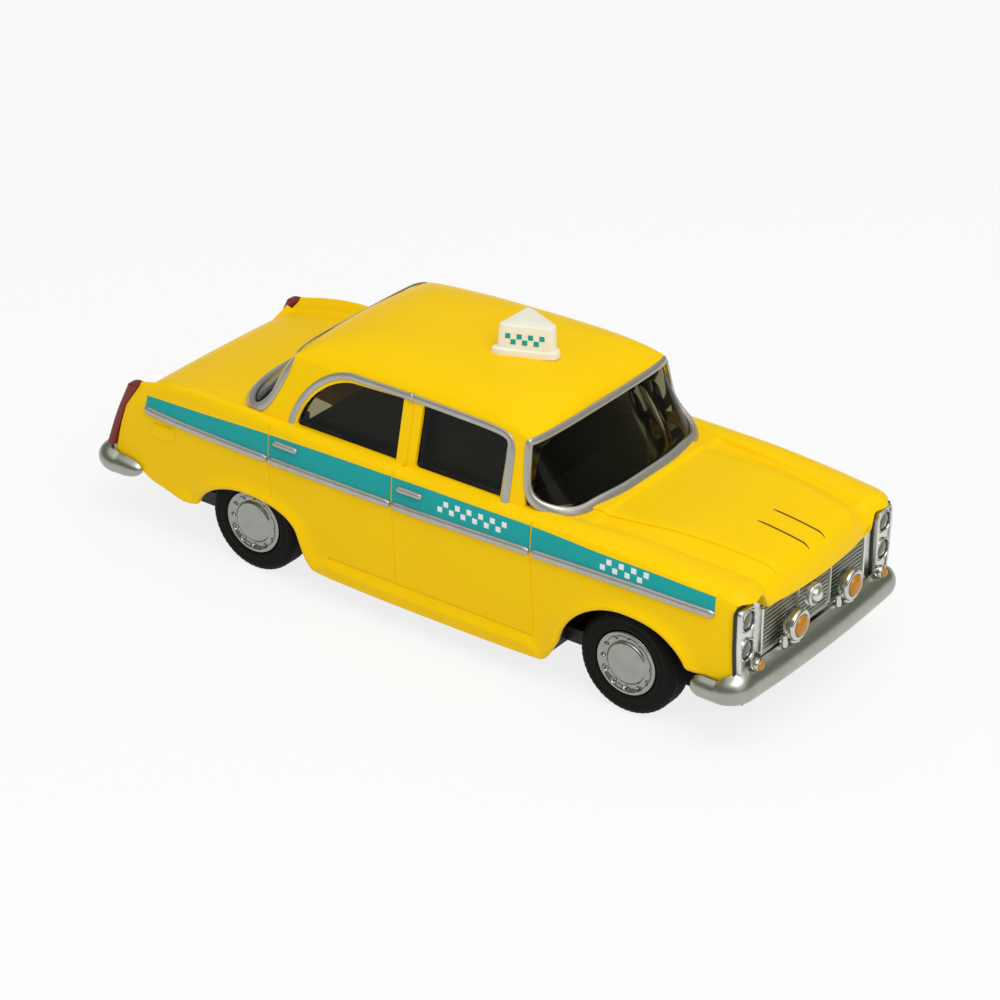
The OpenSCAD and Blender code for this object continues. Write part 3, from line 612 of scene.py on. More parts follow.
def prism(outline: Array, low: float, high: float, axis: str) -> Mesh:
    """Straight bar with an outline drawn across an axis.

    Args:
        outline: (x, z) points for axis y, (y, z) for x, or (x, y) for z.
        low: where the bar starts along the axis.
        high: where it ends.
        axis: x, y or z.

    Returns:
        Points and faces.
    """
    n = len(outline)
    column = "xyz".index(axis)
    points = np.zeros((2 * n, 3))
    rest = [k for k in range(3) if k != column]
    points[:, rest] = np.concatenate([outline, outline])
    points[:n, column], points[n:, column] = low, high
    faces: list[tuple[int, ...]] = [tuple(range(n)), tuple(range(2 * n - 1, n - 1, -1))]
    faces += [(k, (k + 1) % n, n + (k + 1) % n, n + k) for k in range(n)]
    return points, faces


def unit(v: Array) -> Array:
    """Vectors of length one."""
    return v / np.maximum(np.linalg.norm(v, axis=-1, keepdims=True), 1e-12)


def sweep(path: Array, out: Array, profile: Array, closed: bool = False, scale: Array | None = None) -> Mesh:
    """Surface of a profile that runs along a path.

    Args:
        path: points of the path.
        out: direction away from the surface at each point.
        profile: closed outline of (across, outwards) points.
        closed: whether the path meets itself.
        scale: size of the profile at each point.

    Returns:
        Points and faces.
    """
    if closed:
        along = np.roll(path, -1, 0) - np.roll(path, 1, 0)
    else:
        along = np.gradient(path, axis=0)
    along = unit(along)
    across = unit(np.cross(out, along))
    out = unit(np.cross(along, across))
    size = np.ones(len(path)) if scale is None else scale
    rings = (
        path[:, None]
        + across[:, None] * profile[None, :, :1] * size[:, None, None]
        + out[:, None] * profile[None, :, 1:] * size[:, None, None]
    )
    return hoop(rings) if closed else skin(rings)


def bead(width: float, height: float, sink: float = 0.15, steps: int = 12, power: float = 0.8) -> Array:
    """Outline of a raised strip: an arch of that width and height, with its foot sunk."""
    a = np.linspace(0, math.pi, steps + 1)
    arch = np.stack([np.cos(a) * width / 2, np.abs(np.sin(a)) ** power * height], 1)
    return np.concatenate([arch, [[-width / 2, -sink], [width / 2, -sink]]])


def round_bar(radius: float, sides: int = 12) -> Array:
    """Outline of a round bar."""
    a = np.linspace(0, 2 * math.pi, sides, endpoint=False)
    return np.stack([np.cos(a), np.sin(a)], 1) * radius


def lathe(profile: Sequence[tuple[float, float]], steps: int, ripple: Any = None) -> Array:
    """Rings of a turned piece about +Z.

    Args:
        profile: (radius, height) points from the one end of the axis to the other.
        steps: points round each ring.
        ripple: function of (radius, height, angle) arrays that gives changed (radius, height).

    Returns:
        The rings, one to a row.
    """
    p = np.array(profile, float)
    angle = np.linspace(0, 2 * math.pi, steps, endpoint=False)
    r, h = np.meshgrid(p[:, 0], angle, indexing="ij")[0], np.repeat(p[:, 1:2], steps, 1)
    turn = np.repeat(angle[None], len(p), 0)
    if ripple is not None:
        r, h = ripple(r, h, turn)
    return np.stack([r * np.cos(turn), r * np.sin(turn), h], -1)


def along_x(rings: Array, x: float, y: float, z: float) -> Array:
    """Turned rings laid along +X at a point."""
    return np.stack([rings[..., 2] + x, rings[..., 0] + y, rings[..., 1] + z], -1)


def along_y(rings: Array, x: float, y: float, z: float, way: int) -> Array:
    """Turned rings laid along Y at a point, with their top towards that side."""
    return np.stack([rings[..., 0] + x, rings[..., 2] * way + y, rings[..., 1] + z], -1)


def knob(profile: Sequence[tuple[float, float]], steps: int, x: float, y: float, z: float) -> Mesh:
    """Turned solid laid along +X at a point."""
    return skin(along_x(lathe(profile, steps), x, y, z))


def dome(radius: float, foot: float, base: float, rise: float, steps: int) -> list[tuple[float, float]]:
    """Profile of a domed lens.

    Args:
        radius: the lens's radius.
        foot: height of its flat back.
        base: height where the dome starts.
        rise: height of the dome.
        steps: points on the dome.

    Returns:
        (radius, height) points.
    """
    a = np.radians(np.linspace(0, 90, steps))
    curve = [(radius * math.cos(t) + TIP, base + rise * math.sin(t)) for t in a]
    return [(TIP, foot), (radius, foot), *curve]


def tapered(x: Array, reach: float, low: float) -> Array:
    """Sizes along a strip: low at both ends, full from a reach inwards, round between."""
    end = np.minimum(np.minimum(x - x[0], x[-1] - x) / reach, 1)
    return low + (1 - low) * np.sqrt(np.clip(1 - (1 - end) ** 2, 0, 1))


LAMP_LINE = ((-30.5, 15.0), (-32.1, 12.6), (-33.15, 9.7), (-33.65, 8.03))


@dataclass
class Casting:
    """The lower body: its feature lines, skin, wheel arches, grooves and openings."""

    sill_z: float = 2.4
    lip_r: float = 0.42
    flare: float = 0.45
    arch_roll: float = 1.5
    sill_roll: float = 2.15
    roll_r: float = 1.7
    tail_round: float = 0.45
    groove_r: float = 0.17
    groove_lift: float = 0.06
    door_foot: float = 4.75
    arch_foot: float = 9.0
    arch_clear: float = 7.7
    well_r: float = 5.8
    nose_half: float = 8.17
    nose_brow: float = 14.65
    crease_in: Keys = Keys(((-30.7, 4.4), (9.0, 4.4), (19.5, 5.5), (28.0, 6.2), (35.55, 6.95)))
    crease_w: float = 0.5
    crease_h: float = 0.32
    valley_w: float = 2.2
    shelf_w: float = 0.7
    cowl_step: float = 0.26
    cowl_rise: tuple[float, float] = (18.0, 18.5)
    cowl_fade: tuple[float, float] = (20.0, 27.0)
    bonnet_rise: tuple[float, float] = (9.0, 17.0)
    nose_from: float = 27.3
    tail_to: float = -23.7
    panel_z: tuple[float, float] = (9.2, 12.85)
    flare_top: float = 13.5
    flare_rise: tuple[float, float] = (-28.5, -24.5)
    flare_fall: tuple[float, float] = (28.5, 32.0)
    sill_rise: tuple[float, float] = (-11.0, -8.0)
    sill_fall: tuple[float, float] = (13.5, 15.5)
    lip_span: tuple[float, float] = (-31.0, 34.25)
    foot_span: tuple[float, float] = (-8.2, 14.2)
    door_top: float = 15.9
    side_points: int = 60
    front_points: int = 90
    panel_points: int = 56
    top_start: int = 45
    narrow: Keys = Keys(
        ((-34.7, 1.05), (-29.7, 0.65), (-21.7, 0.25), (-9.7, 0.02), (17.3, 0), (27.3, 0.1))
        + ((34.4, 0.35), (35.55, 0.6))
    )
    belt: Keys = Keys(
        ((-30.7, 14.3), (-22.7, 14.7), (-14.7, 15.15), (2.8, 15.45), (15.3, 15.5), (27.3, 15.2))
        + ((34.4, 14.85),)
    )
    wing: Keys = Keys(
        ((-31.7, 14.75), (-30.1, 15.3), (-25.7, 16.3), (-21.7, 16.55), (-12.0, 16.45), (2.8, 16.35))
        + ((15.3, 16.45), (23.3, 16.4), (29.3, 16.0), (33.8, 15.55), (35.55, 15.4))
    )
    wing_in: Keys = Keys(((-30.7, 0.5), (-17.7, 0.95), (15.3, 1.6), (35.55, 1.7)))
    valley: Keys = Keys(
        ((-30.7, 1.1), (-24.7, 0.98), (-18.7, 0.68), (2.8, 0.5), (17.3, 0.4), (23.3, 0.42), (35.55, 0.42))
    )
    lid: Keys = Keys(
        ((-31.7, 14.1), (-30.7, 14.35), (-29.7, 14.7), (-25.7, 15.5), (-20.7, 16.0), (2.8, 16.3))
        + ((17.3, 16.4), (24.3, 16.6), (29.5, 16.4), (32.3, 16.1), (35.55, 15.55))
    )
    roll_share: tuple[float, ...] = (0, 0, 0, 0, 0.25, 0.6, 0.75, 0.9, 1.1, 1.4, 1.5, 1.55, 1.58)
    nose_set: tuple[float, ...] = (
        (-1.15, -1.15, -1.15, -1.1, -1, -0.55, -0.15) + (-0.5, -0.65, -0.45, -0.35, -0.1, 0)
    )
    tail_set: tuple[float, ...] = (-3.6, -3.6, -2.5, -1.4, -0.7, -0.4, -0.3, -0.15, 0, 0, 0, 0, 0)
    edge: Array = field(init=False)
    cut_edge: Array = field(init=False)

    def __post_init__(self) -> None:
        """Draws the lower edge and the line where the rolled lip meets the panel."""
        self.edge = self.lower_edge()
        along = unit(np.gradient(self.edge, axis=0))
        raised = self.edge + np.stack([-along[:, 1], along[:, 0]], 1) * self.lip_r
        gap = np.linalg.norm(raised[:, None] - self.edge[None], axis=2).min(1)
        self.cut_edge = resample(raised[gap > self.lip_r * 0.985], 0.14)

    def lower_edge(self) -> Array:
        """Lower edge of a side in (x, z): rear quarter, rear arch, sill, front arch and front wing."""

        def arch(x: float, rx: float, z0: float, z1: float, a0: float, a1: float) -> Array:
            """Arch about a station, from a foot to a head height, between two angles in degrees."""
            a = np.radians(np.linspace(a0, a1, 40))
            c = np.cos(a)
            power = np.where(c < 0, 1.1, 0.8)
            z = z0 + (z1 - z0) * np.sin(a) ** power
            return np.stack([x + rx * np.sign(c) * np.abs(c) ** power, z], 1)

        path = np.concatenate(
            [
                [[-39.7, 6.45], [-31.1, 6.45], [-29.7, 5.4], [-27.3, 4.95], [-25.1, 4.7]],
                arch(-17.5, 6.0, 4.95, 8.35, 176, 20),
                [[-10.8, 3.3], [-9.7, 2.4], [14.75, 2.4], [15.65, 3.0]],
                arch(23.5, 6.55, 4.8, 10.45, 174, 18),
                [[37.4, 6.8]],
            ]
        )
        return resample(softened(path, 3), 0.12)

    def half(self, x: Array, inset: float = 0.0, steps: int = 10) -> Array:
        """Half sections from the sill to the centre line.

        Args:
            x: the stations.
            inset: how far the section is drawn in.
            steps: points between two feature lines.

        Returns:
            One row of points for each station.
        """
        x = np.asarray(x, float)
        zero = np.zeros_like(x)
        w = AT.half_w - self.narrow.at(x) - inset
        dip = self.cowl_step * between(self.cowl_rise, self.cowl_fade, x)
        wing = self.wing.at(x) - inset - (self.valley.at(x) if inset else 0)
        wing_y = w - self.wing_in.at(x)
        lid = self.lid.at(x) - inset - dip
        fore = smooth(*self.bonnet_rise, x)
        crease_y = AT.half_w - self.crease_in.at(x) - inset / 2
        valley_y = mix(wing_y - 1, crease_y + self.valley_w, fore)
        low_z = wing - self.valley.at(x) - dip
        shelf_y = mix(mix(wing_y, valley_y, 0.5), valley_y + self.shelf_w, fore)
        past = np.maximum(x - AT.lip + self.roll_r, 0)
        roll = self.roll_r - np.sqrt(np.maximum(self.roll_r**2 - past**2, 0))
        nose, tail = smooth(self.nose_from, AT.lip, x), 1 - smooth(AT.deck, self.tail_to, x)
        lines = [
            (w - 0.85, self.sill_z - inset * 3 + zero),
            (w - 0.4, self.sill_z + 2.3 + zero),
            (w - 0.08, self.panel_z[0] + zero),
            (w, self.panel_z[1] + zero),
            (w - 0.12, self.belt.at(x) - inset / 2),
            (mix(wing_y, w, 0.62), wing - 0.35),
            (wing_y, wing),
            (shelf_y, mix(mix(wing, low_z, 0.5), wing - 0.1, fore)),
            (valley_y, low_z),
            (crease_y + mix(0.6, self.crease_w, fore), mix(mix(low_z, lid, 0.55), lid - self.crease_h, fore)),
            (crease_y, lid - mix(0.12, 0.0, fore)),
            (crease_y / 2, lid - 0.0375),
            (zero, lid),
        ]
        p = np.stack(
            [
                np.stack([x + nose * ns + tail * ts, y, z - roll * rs], -1)
                for (y, z), ns, ts, rs in zip(lines, self.nose_set, self.tail_set, self.roll_share)
            ],
            axis=1,
        )
        return self.curved(p, steps)

    def curved(self, p: Array, steps: int) -> Array:
        """Smooth curves through rows of points."""
        n = p.shape[1]
        slope = (p[:, np.minimum(np.arange(n) + 1, n - 1)] - p[:, np.maximum(np.arange(n) - 1, 0)]) / 2
        t = np.arange(steps)[None, :, None] / steps
        parts = [
            hermite(p[:, i, None], p[:, i + 1, None], slope[:, i, None], slope[:, i + 1, None], t)
            for i in range(n - 1)
        ]
        return np.concatenate([*parts, p[:, -1:]], axis=1)

    def flared(self, x: Array, z: Array) -> Array:
        """How far the panel swells towards its lower edge."""
        shape = np.shape(x)
        q = np.stack([np.ravel(x), np.ravel(z)], 1)
        gap = np.full(len(q), 9.0)
        near = np.nonzero(q[:, 1] < self.flare_top)[0]
        for part in np.array_split(near, max(len(near) // 4000, 1)):
            gap[part] = np.linalg.norm(q[part, None] - self.edge[None], axis=2).min(1)
        fade = between(self.flare_rise, self.flare_fall, q[:, 0])
        sill = between(self.sill_rise, self.sill_fall, q[:, 0])
        reach = mix(self.arch_roll, self.sill_roll, sill)
        step = np.clip((gap / reach - mix(0.15, 0.62, sill)) / mix(0.85, 0.4, sill), 0, 1)
        return (self.flare * (1 - step * step * (3 - 2 * step)) * fade).reshape(shape)

    def side(self, x: Array, z: Array) -> Array:
        """Half width of the side panels at points (x, z)."""
        x, z = np.asarray(x, float), np.asarray(z, float)
        station = x.copy()
        y = np.zeros_like(x)
        for _ in range(6):
            g = self.half(station)[:, : self.panel_points]
            found = np.array([np.interp(zi, row[:, 2], row[:, 0]) for zi, row in zip(z, g)])
            y = np.array([np.interp(zi, row[:, 2], row[:, 1]) for zi, row in zip(z, g)])
            station = station + x - found
        return y + self.flared(x, z)

    def top(self, x: Array, y: Array) -> Array:
        """Height of the body's top at points (x, y)."""
        x, y = np.asarray(x, float), np.abs(np.asarray(y, float))
        station = x.copy()
        z = np.zeros_like(x)
        for _ in range(4):
            g = self.half(station)[:, self.top_start :][:, ::-1]
            found = np.array([np.interp(yi, row[:, 1], row[:, 0]) for yi, row in zip(y, g)])
            z = np.array([np.interp(yi, row[:, 1], row[:, 2]) for yi, row in zip(y, g)])
            station = station + x - found
        return z

    def rings(self, stations: Array, inset: float, steps: int, flare: bool) -> Array:
        """Whole sections at stations, from the right sill over the top to the left sill."""
        half = self.half(stations, inset, steps)
        if flare:
            half[..., 1] += self.flared(half[..., 0], half[..., 2]) * (half[..., 1] > 9)
        right = half * np.array([1, -1, 1])
        return np.concatenate([right, half[:, -2::-1]], axis=1)

    def solid(self, bench: Bench) -> bpy.types.Object:
        """Builds the closed outer form."""
        main = np.linspace(AT.deck, AT.lip - self.roll_r, 210)
        step = np.linspace(self.cowl_rise[0] - 0.05, self.cowl_rise[1] + 0.05, 12)
        main = np.sort(np.concatenate([main, step]))
        nose = AT.lip - self.roll_r * (1 - np.sin(np.radians(np.linspace(5, 90, 18))))
        rings = self.rings(np.concatenate([main, nose]), 0.0, 10, True)
        first = rings[0]
        centre = np.array([0.0, 0.0, mix(first[:, 2].min(), first[:, 2].max(), 0.22)])
        rake = first[: self.side_points]
        tail = []
        for share in [0.003, *np.linspace(0.04, 0.9, 24), 0.93, 0.955, 0.975, 0.988, 0.996]:
            ring = mix(centre, first, share)
            flat = np.interp(ring[:, 2], rake[:, 2], rake[:, 0])
            back = self.tail_round * math.sqrt(1 - smooth(0.93, 1.0, share) ** 2)
            ring[:, 0] = mix(flat, first[:, 0], share**8) - back
            tail.append(ring)
        last = rings[-1]
        plan = last[len(last) // 2 : len(last) // 2 + self.front_points]
        centre = np.array([AT.lip, 0.0, mix(last[:, 2].min(), last[:, 2].max(), 0.5)])
        face = []
        for share in (0.985, 0.95, 0.9, 0.8, 0.65, 0.5, 0.35, 0.2, 0.1, 0.003):
            ring = mix(centre, last, share)
            ring[:, 0] = mix(np.interp(np.abs(ring[:, 1]), plan[:, 1], plan[:, 0]), last[:, 0], share**12)
            face.append(ring)
        return bench.solid("painted_body", skin(np.concatenate([np.array(tail), rings, np.array(face)])))

    def lip(self, bench: Bench, side: Side) -> bpy.types.Object:
        """Builds the rolled lip along a side's lower edge."""
        start, stop = self.lip_span
        path = self.cut_edge[(self.cut_edge[:, 0] > start) & (self.cut_edge[:, 0] < stop)]
        y = self.side(path[:, 0], path[:, 1]) - self.lip_r
        points = np.stack([path[:, 0], y * side.value, path[:, 1]], 1)
        return bench.solid("lip", sweep(points, side.out(len(points)), round_bar(self.lip_r, 16)))

    def groove(self, bench: Bench, points: Array, out: Array) -> bpy.types.Object:
        """Builds the cutter of a fine groove along a line on the skin."""
        bar = round_bar(self.groove_r, 12) + np.array([0.0, self.groove_lift])
        return bench.solid("groove", sweep(points, out, bar))

    def grooves(self, bench: Bench) -> list[bpy.types.Object]:
        """Builds the cutters of the door gaps and of the line along the doors' feet."""
        made = []
        for side in Side:
            for x in AT.door_lines:
                foot = self.door_foot if x > AT.rear_axle + self.arch_clear else self.arch_foot
                z = np.linspace(foot, self.door_top, 60)
                xs = np.full_like(z, x) - 0.25 * smooth(6, 14, z)
                y = self.side(xs, z)
                line = np.stack([xs, y * side.value, z], 1)
                made.append(self.groove(bench, line, side.out(len(z))))
            x = np.linspace(*self.foot_span, 120)
            z = np.full_like(x, self.door_foot)
            line = np.stack([x, self.side(x, z) * side.value, z], 1)
            made.append(self.groove(bench, line, side.out(len(x))))
        return made

    def openings(self, bench: Bench, cabin: Cabin) -> list[bpy.types.Object]:
        """Builds the cutters of the inside, arches, nose and lamp recesses."""
        inside = self.rings(np.linspace(AT.deck + AT.wall, AT.grille - AT.wall, 60), AT.wall, 3, False)
        below = np.concatenate([self.cut_edge, [[37.4, -6], [-39.7, -6]]])
        half, brow = self.nose_half, self.nose_brow
        nose = [(-14, -1), (-14, brow), (-half - 0.7, brow), (-half, 12.95)]
        seat = [(-11.1, -1), (-11.1, brow - 0.35), (-half - 0.7, brow - 0.35), (-half, 12.95)]
        made = [
            bench.solid("inside", skin(inside)),
            bench.solid("under_cabin", prism(cabin.ring(0.0, AT.wall, 24), 1.0, 18.0, "z")),
            bench.solid("below", prism(below, -30, 30, "y")),
            bench.solid("nose", prism(self.both(nose, 0.5), AT.fender - 0.08, 60, "x")),
            bench.solid("seat", prism(self.both(seat, 0.3), AT.grille - 0.08, 60, "x")),
        ]
        recess = np.array([*LAMP_LINE, (-33.65, 7.95), (-40, 7.95), (-40, 30), (-30.5, 30)])
        for side in Side:
            made.append(bench.solid("recess", prism(recess, *side.span(10.7, 30.0), "y")))
            for x in (AT.front_axle, AT.rear_axle):
                ring = round_bar(self.well_r, 64) + np.array([x, AT.axle_z])
                made.append(bench.solid("well", prism(ring, *side.span(7.45, 11.9), "y")))
        return made

    def both(self, left: Sequence[tuple[float, float]], radius: float) -> Array:
        """Outline made of a right half and its mirror, with rounded corners."""
        radii = [0, 0, radius, radius, radius, radius, 0, 0]
        return rounded([*left, *[(-y, z) for y, z in reversed(left)]], radii)


@dataclass
class Cabin:
    """The cabin: roof and pillars, its window frames and its clear moulding."""

    belt_w: float = 23.1
    rail_w: float = 20.5
    foot_z: float = 15.8
    wall_top: float = 22.2
    roof_z: float = 24.65
    header_bow: float = 0.5
    pillar_foot: float = 0.6
    pillar_lean: float = 1.1
    tail_bow: float = 0.7
    rail_taper: float = 0.5
    bow_power: float = 0.69
    front_power: float = 4.4
    back_power: float = 2.1
    side_power: float = 4.2
    edge_power: float = 0.45
    window_sill: float = 16.4
    window_head: float = 22.0
    frame_w: float = 0.66
    frame_h: float = 0.17
    pane_set: float = 0.3
    roof_ease: float = 60.0
    pane_fit: float = 0.04
    screen_z: tuple[float, float] = (15.8, 22.06)
    back_z: tuple[float, float] = (16.5, 21.7)
    post_z: tuple[float, float] = (16.15, 21.95)
    post_r: float = 0.19
    glass_gap: float = 0.08
    glass_t: float = 0.7

    def share(self, z: Any) -> Any:
        """Share of the wall's height at heights z."""
        return np.clip((np.asarray(z, float) - self.foot_z) / (self.wall_top - self.foot_z), 0, 1)

    def ring(self, f: float, inset: float, n: int) -> Array:
        """Plan outline at a share of the height, drawn in by inset."""
        b = mix(self.belt_w, self.rail_w, f) / 2 - inset
        front = AT.pillar - inset
        back = AT.rear_pillar + mix(-self.pillar_foot, self.pillar_lean, f) + inset
        bow = mix(AT.cowl - AT.pillar, self.header_bow, f)
        tail = mix(AT.rear_pillar - AT.backlight, self.tail_bow, f)
        taper = self.rail_taper * f
        a = np.linspace(0, math.pi / 2, n + 1)
        c, s = np.cos(a).clip(0) ** self.bow_power, np.sin(a).clip(0) ** self.bow_power
        t = np.linspace(0, 1, 2 * n + 1)[1:]
        left = np.concatenate(
            [
                np.stack([front + bow * c, b * s], 1),
                np.stack([mix(front, back, t), b - taper * t**2], 1),
                np.stack([back - tail * c[-2::-1], (b - taper) * s[-2::-1]], 1),
            ]
        )
        return np.concatenate([left, left[-2:0:-1] * [1, -1]])

    def crown(self, u: Any, v: Any, power: Any) -> Any:
        """Share of the roof's rise at shares u along and v across it."""
        return np.maximum((1 - u**power) * (1 - v**self.side_power), 0) ** self.edge_power

    def rings(self, inset: float, low: float, n: int, walls: int, steps: int) -> Array:
        """Rings from a low edge up the walls and over the roof."""
        rows = [np.column_stack([self.ring(0, inset, n), np.full(8 * n, low)])] if low < self.foot_z else []
        for z in np.linspace(max(low, self.foot_z), self.wall_top, walls + 1):
            ring = self.ring(float(self.share(z)), inset, n)
            rows.append(np.column_stack([ring, np.full(len(ring), z)]))
        top = self.ring(1, inset, n)
        dx = top[:, 0] - AT.cabin
        front_l = AT.pillar + self.header_bow - inset - AT.cabin
        back_l = AT.cabin - AT.rear_pillar - self.pillar_lean + self.tail_bow - inset
        u = np.minimum(np.abs(dx) / np.where(dx > 0, front_l, back_l), 1)
        v = np.minimum(np.abs(top[:, 1]) / (self.rail_w / 2 - inset), 1)
        power = np.where(dx > 0, self.front_power, self.back_power)
        for a in np.radians(np.linspace(0, 89.3, steps + 1))[1:]:
            s = math.cos(a)
            z = self.wall_top + (self.roof_z - self.wall_top - inset) * (
                self.crown(u * s, v * s, power) - self.crown(u, v, power) * s**6
            )
            rows.append(np.stack([AT.cabin + dx * s, top[:, 1] * s, z], 1))
        for i in range(1, steps + 1):
            ring = rows[i - steps - 1]
            for _ in range(int(self.roof_ease * smooth(0, steps / 2, i))):
                ring = ring / 2 + (np.roll(ring, 1, 0) + np.roll(ring, -1, 0)) / 4
            rows[i - steps - 1] = ring
        return np.array(rows)

    def wall_y(self, x: Array, z: Array) -> Array:
        """Half width of the side walls at points (x, z)."""
        f = self.share(z)
        back = AT.rear_pillar + mix(-self.pillar_foot, self.pillar_lean, f)
        t = np.clip((AT.pillar - x) / (AT.pillar - back), 0, 1)
        return mix(self.belt_w, self.rail_w, f) / 2 - self.rail_taper * f * t**2

    def bow(self, angle: Array, z: Array, rear: bool = False) -> Array:
        """Points of the windscreen's or rear window's surface, by angle from the middle and height."""
        f = self.share(z)
        c = np.cos(angle).clip(0) ** self.bow_power
        s = np.sign(angle) * np.abs(np.sin(angle)) ** self.bow_power
        b = mix(self.belt_w, self.rail_w, f) / 2
        if rear:
            start = AT.rear_pillar + mix(-self.pillar_foot, self.pillar_lean, f)
            depth = mix(AT.rear_pillar - AT.backlight, self.tail_bow, f)
            return np.stack([start - depth * c, (b - self.rail_taper * f) * s, z], -1)
        return np.stack([AT.pillar + mix(AT.cowl - AT.pillar, self.header_bow, f) * c, b * s, z], -1)

    def front_window(self) -> Array:
        """Outline of a front door's window in (x, z)."""
        x, low, high = AT.post, self.window_sill, self.window_head
        corners = [(x + 1, low), (AT.pillar - 2, low), (AT.pillar - 1.95, high - 0.15), (x + 1.05, high)]
        return rounded(corners, [0.35, 0.3, 0.7, 0.35])

    def rear_window(self) -> Array:
        """Outline of a rear door's window in (x, z)."""
        x, low, high = AT.post, self.window_sill, self.window_head
        a = np.radians(np.linspace(2, 88, 30))
        end = AT.rear_pillar + 2.3
        run, rise = 5.8, high - 0.3 - low
        bend = np.stack([end + run - run * np.sin(a) ** 1.15, low + rise * np.cos(a) ** 1.15], 1)
        return np.concatenate([[[x - 1, low + 0.01], [x - 1.05, high - 0.02]], bend, [[end + 0.2, low]]])

    def solid(self, bench: Bench) -> bpy.types.Object:
        """Builds the roof and pillars with their openings."""
        shell = bench.solid("cabin", skin(self.rings(0.0, 14.2, 28, 14, 30)[::-1]))
        inner = bench.solid("cabin_inside", skin(self.rings(AT.wall, 10.0, 20, 8, 16)[::-1]))
        cuts = [inner, *[bench.solid("window", prism(outline, -30, 30, "y")) for outline in self.outlines()]]
        return bench.apply(shell, cuts, Cut.TAKE)

    def outlines(self) -> list[Array]:
        """Outlines of all the window openings in (x, z)."""
        low, high = self.screen_z
        screen = [(AT.pillar + 0.6, low), (24, low), (24, high), (AT.pillar + 0.05, high)]
        low, high = self.back_z
        back = [(-16.5, low), (-27, low), (-27, high), (-14.6, high)]
        return [self.front_window(), self.rear_window(), np.array(screen), np.array(back)]

    def post_gaps(self, bench: Bench) -> list[bpy.types.Object]:
        """Builds the cutters of the door gaps in the middle pillars."""
        z = np.linspace(*self.post_z, 24)
        x = np.full_like(z, AT.post - 0.02)
        made = []
        for side in Side:
            line = np.stack([x, (self.wall_y(x, z) + 0.05) * side.value, z], 1)
            made.append(bench.solid("gap", sweep(line, side.out(len(z)), round_bar(self.post_r, 12))))
        return made

    def glazing(self, bench: Bench) -> None:
        """Builds the clear moulding inside the cabin, with panes that reach into the openings."""
        foot = self.foot_z + 0.1
        gap = AT.wall + self.glass_gap
        outer = bench.solid("window_glazing", skin(self.rings(gap, foot, 20, 10, 16)[::-1]))
        panes = []
        for outline in self.outlines():
            pane = bench.solid("pane", skin(self.rings(self.pane_set, foot, 24, 12, 20)[::-1]))
            middle = (outline.min(0) + outline.max(0)) / 2
            half = np.maximum(outline.max(0) - middle, 1e-6)
            fitted = middle + (outline - middle) * (1 - self.pane_fit / half)
            panes.append(bench.apply(pane, [bench.solid("mask", prism(fitted, -30, 30, "y"))], Cut.MEET))
        bench.apply(outer, panes, Cut.JOIN)
        hollow = self.rings(gap + self.glass_t, self.foot_z - 1, 20, 10, 16)
        bench.apply(outer, [bench.solid("glazing_inside", skin(hollow[::-1]))], Cut.TAKE)
        bench.show(outer, GLASS, "glazing", stands_for=["glazing"])

    def frames(self, bench: Bench, casting: Casting) -> None:
        """Builds the silver frames of all the windows."""
        strip = bead(self.frame_w, self.frame_h)
        for side in Side:
            line = self.door_frame()
            y = self.wall_y(line[:, 0], line[:, 1])
            points = np.stack([line[:, 0], y * side.value, line[:, 1]], 1)
            out = side.out(len(points), 0.2)
            wide = 1 + 0.3 * smooth(9.6, 10.4, line[:, 0]) * smooth(21.8, 20.5, line[:, 1])
            mesh = sweep(points, out, strip, False, wide)
            bench.piece(f"side_frame_{side.label}", mesh, SILVER, "plated")
            clip = np.stack([np.full(7, AT.post - 0.25), np.zeros(7), np.linspace(21.95, 22.75, 7)], 1)
            clip[:, 1] = (self.wall_y(clip[:, 0], np.minimum(clip[:, 2], 22.2)) + 0.02) * side.value
            scale = np.array([0.5, 0.85, 1, 1, 1, 0.85, 0.5])
            mesh = sweep(clip, out[:7], bead(0.62, 0.34), False, scale)
            bench.piece(f"frame_clip_{side.label}", mesh, SILVER, "plated")
        for rear in (False, True):
            path, out = self.bowed_frame(casting, rear)
            name = "rear_window_frame" if rear else "windscreen_frame"
            wide = 1 + 0.4 * smooth(18.5, 16.8, path[:, 2])
            if rear:
                wide = wide - 0.62 * smooth(20.4, 22.0, path[:, 2])
            bench.piece(name, sweep(path, out, strip, True, wide), SILVER, "plated")

    def door_frame(self) -> Array:
        """Line of a side's window frame in (x, z), from the rear foot over the top to the front foot."""
        a = np.radians(np.linspace(90, 4, 40))
        end = AT.rear_pillar + 1.75
        run, low, high = 6.2, 16.15, 22.2
        bend = np.stack([end + run - run * np.sin(a) ** 1.1, low + (high - low) * np.cos(a) ** 1.1], 1)
        over = [(-2.0, 22.3), (3.0, 22.3), (7.8, 22.22), (9.7, 22.05)]
        over += [(10.35, 21.5), (10.4, 20), (10.45, 16.2)]
        return resample(softened(np.concatenate([bend, over]), 2), 0.16)

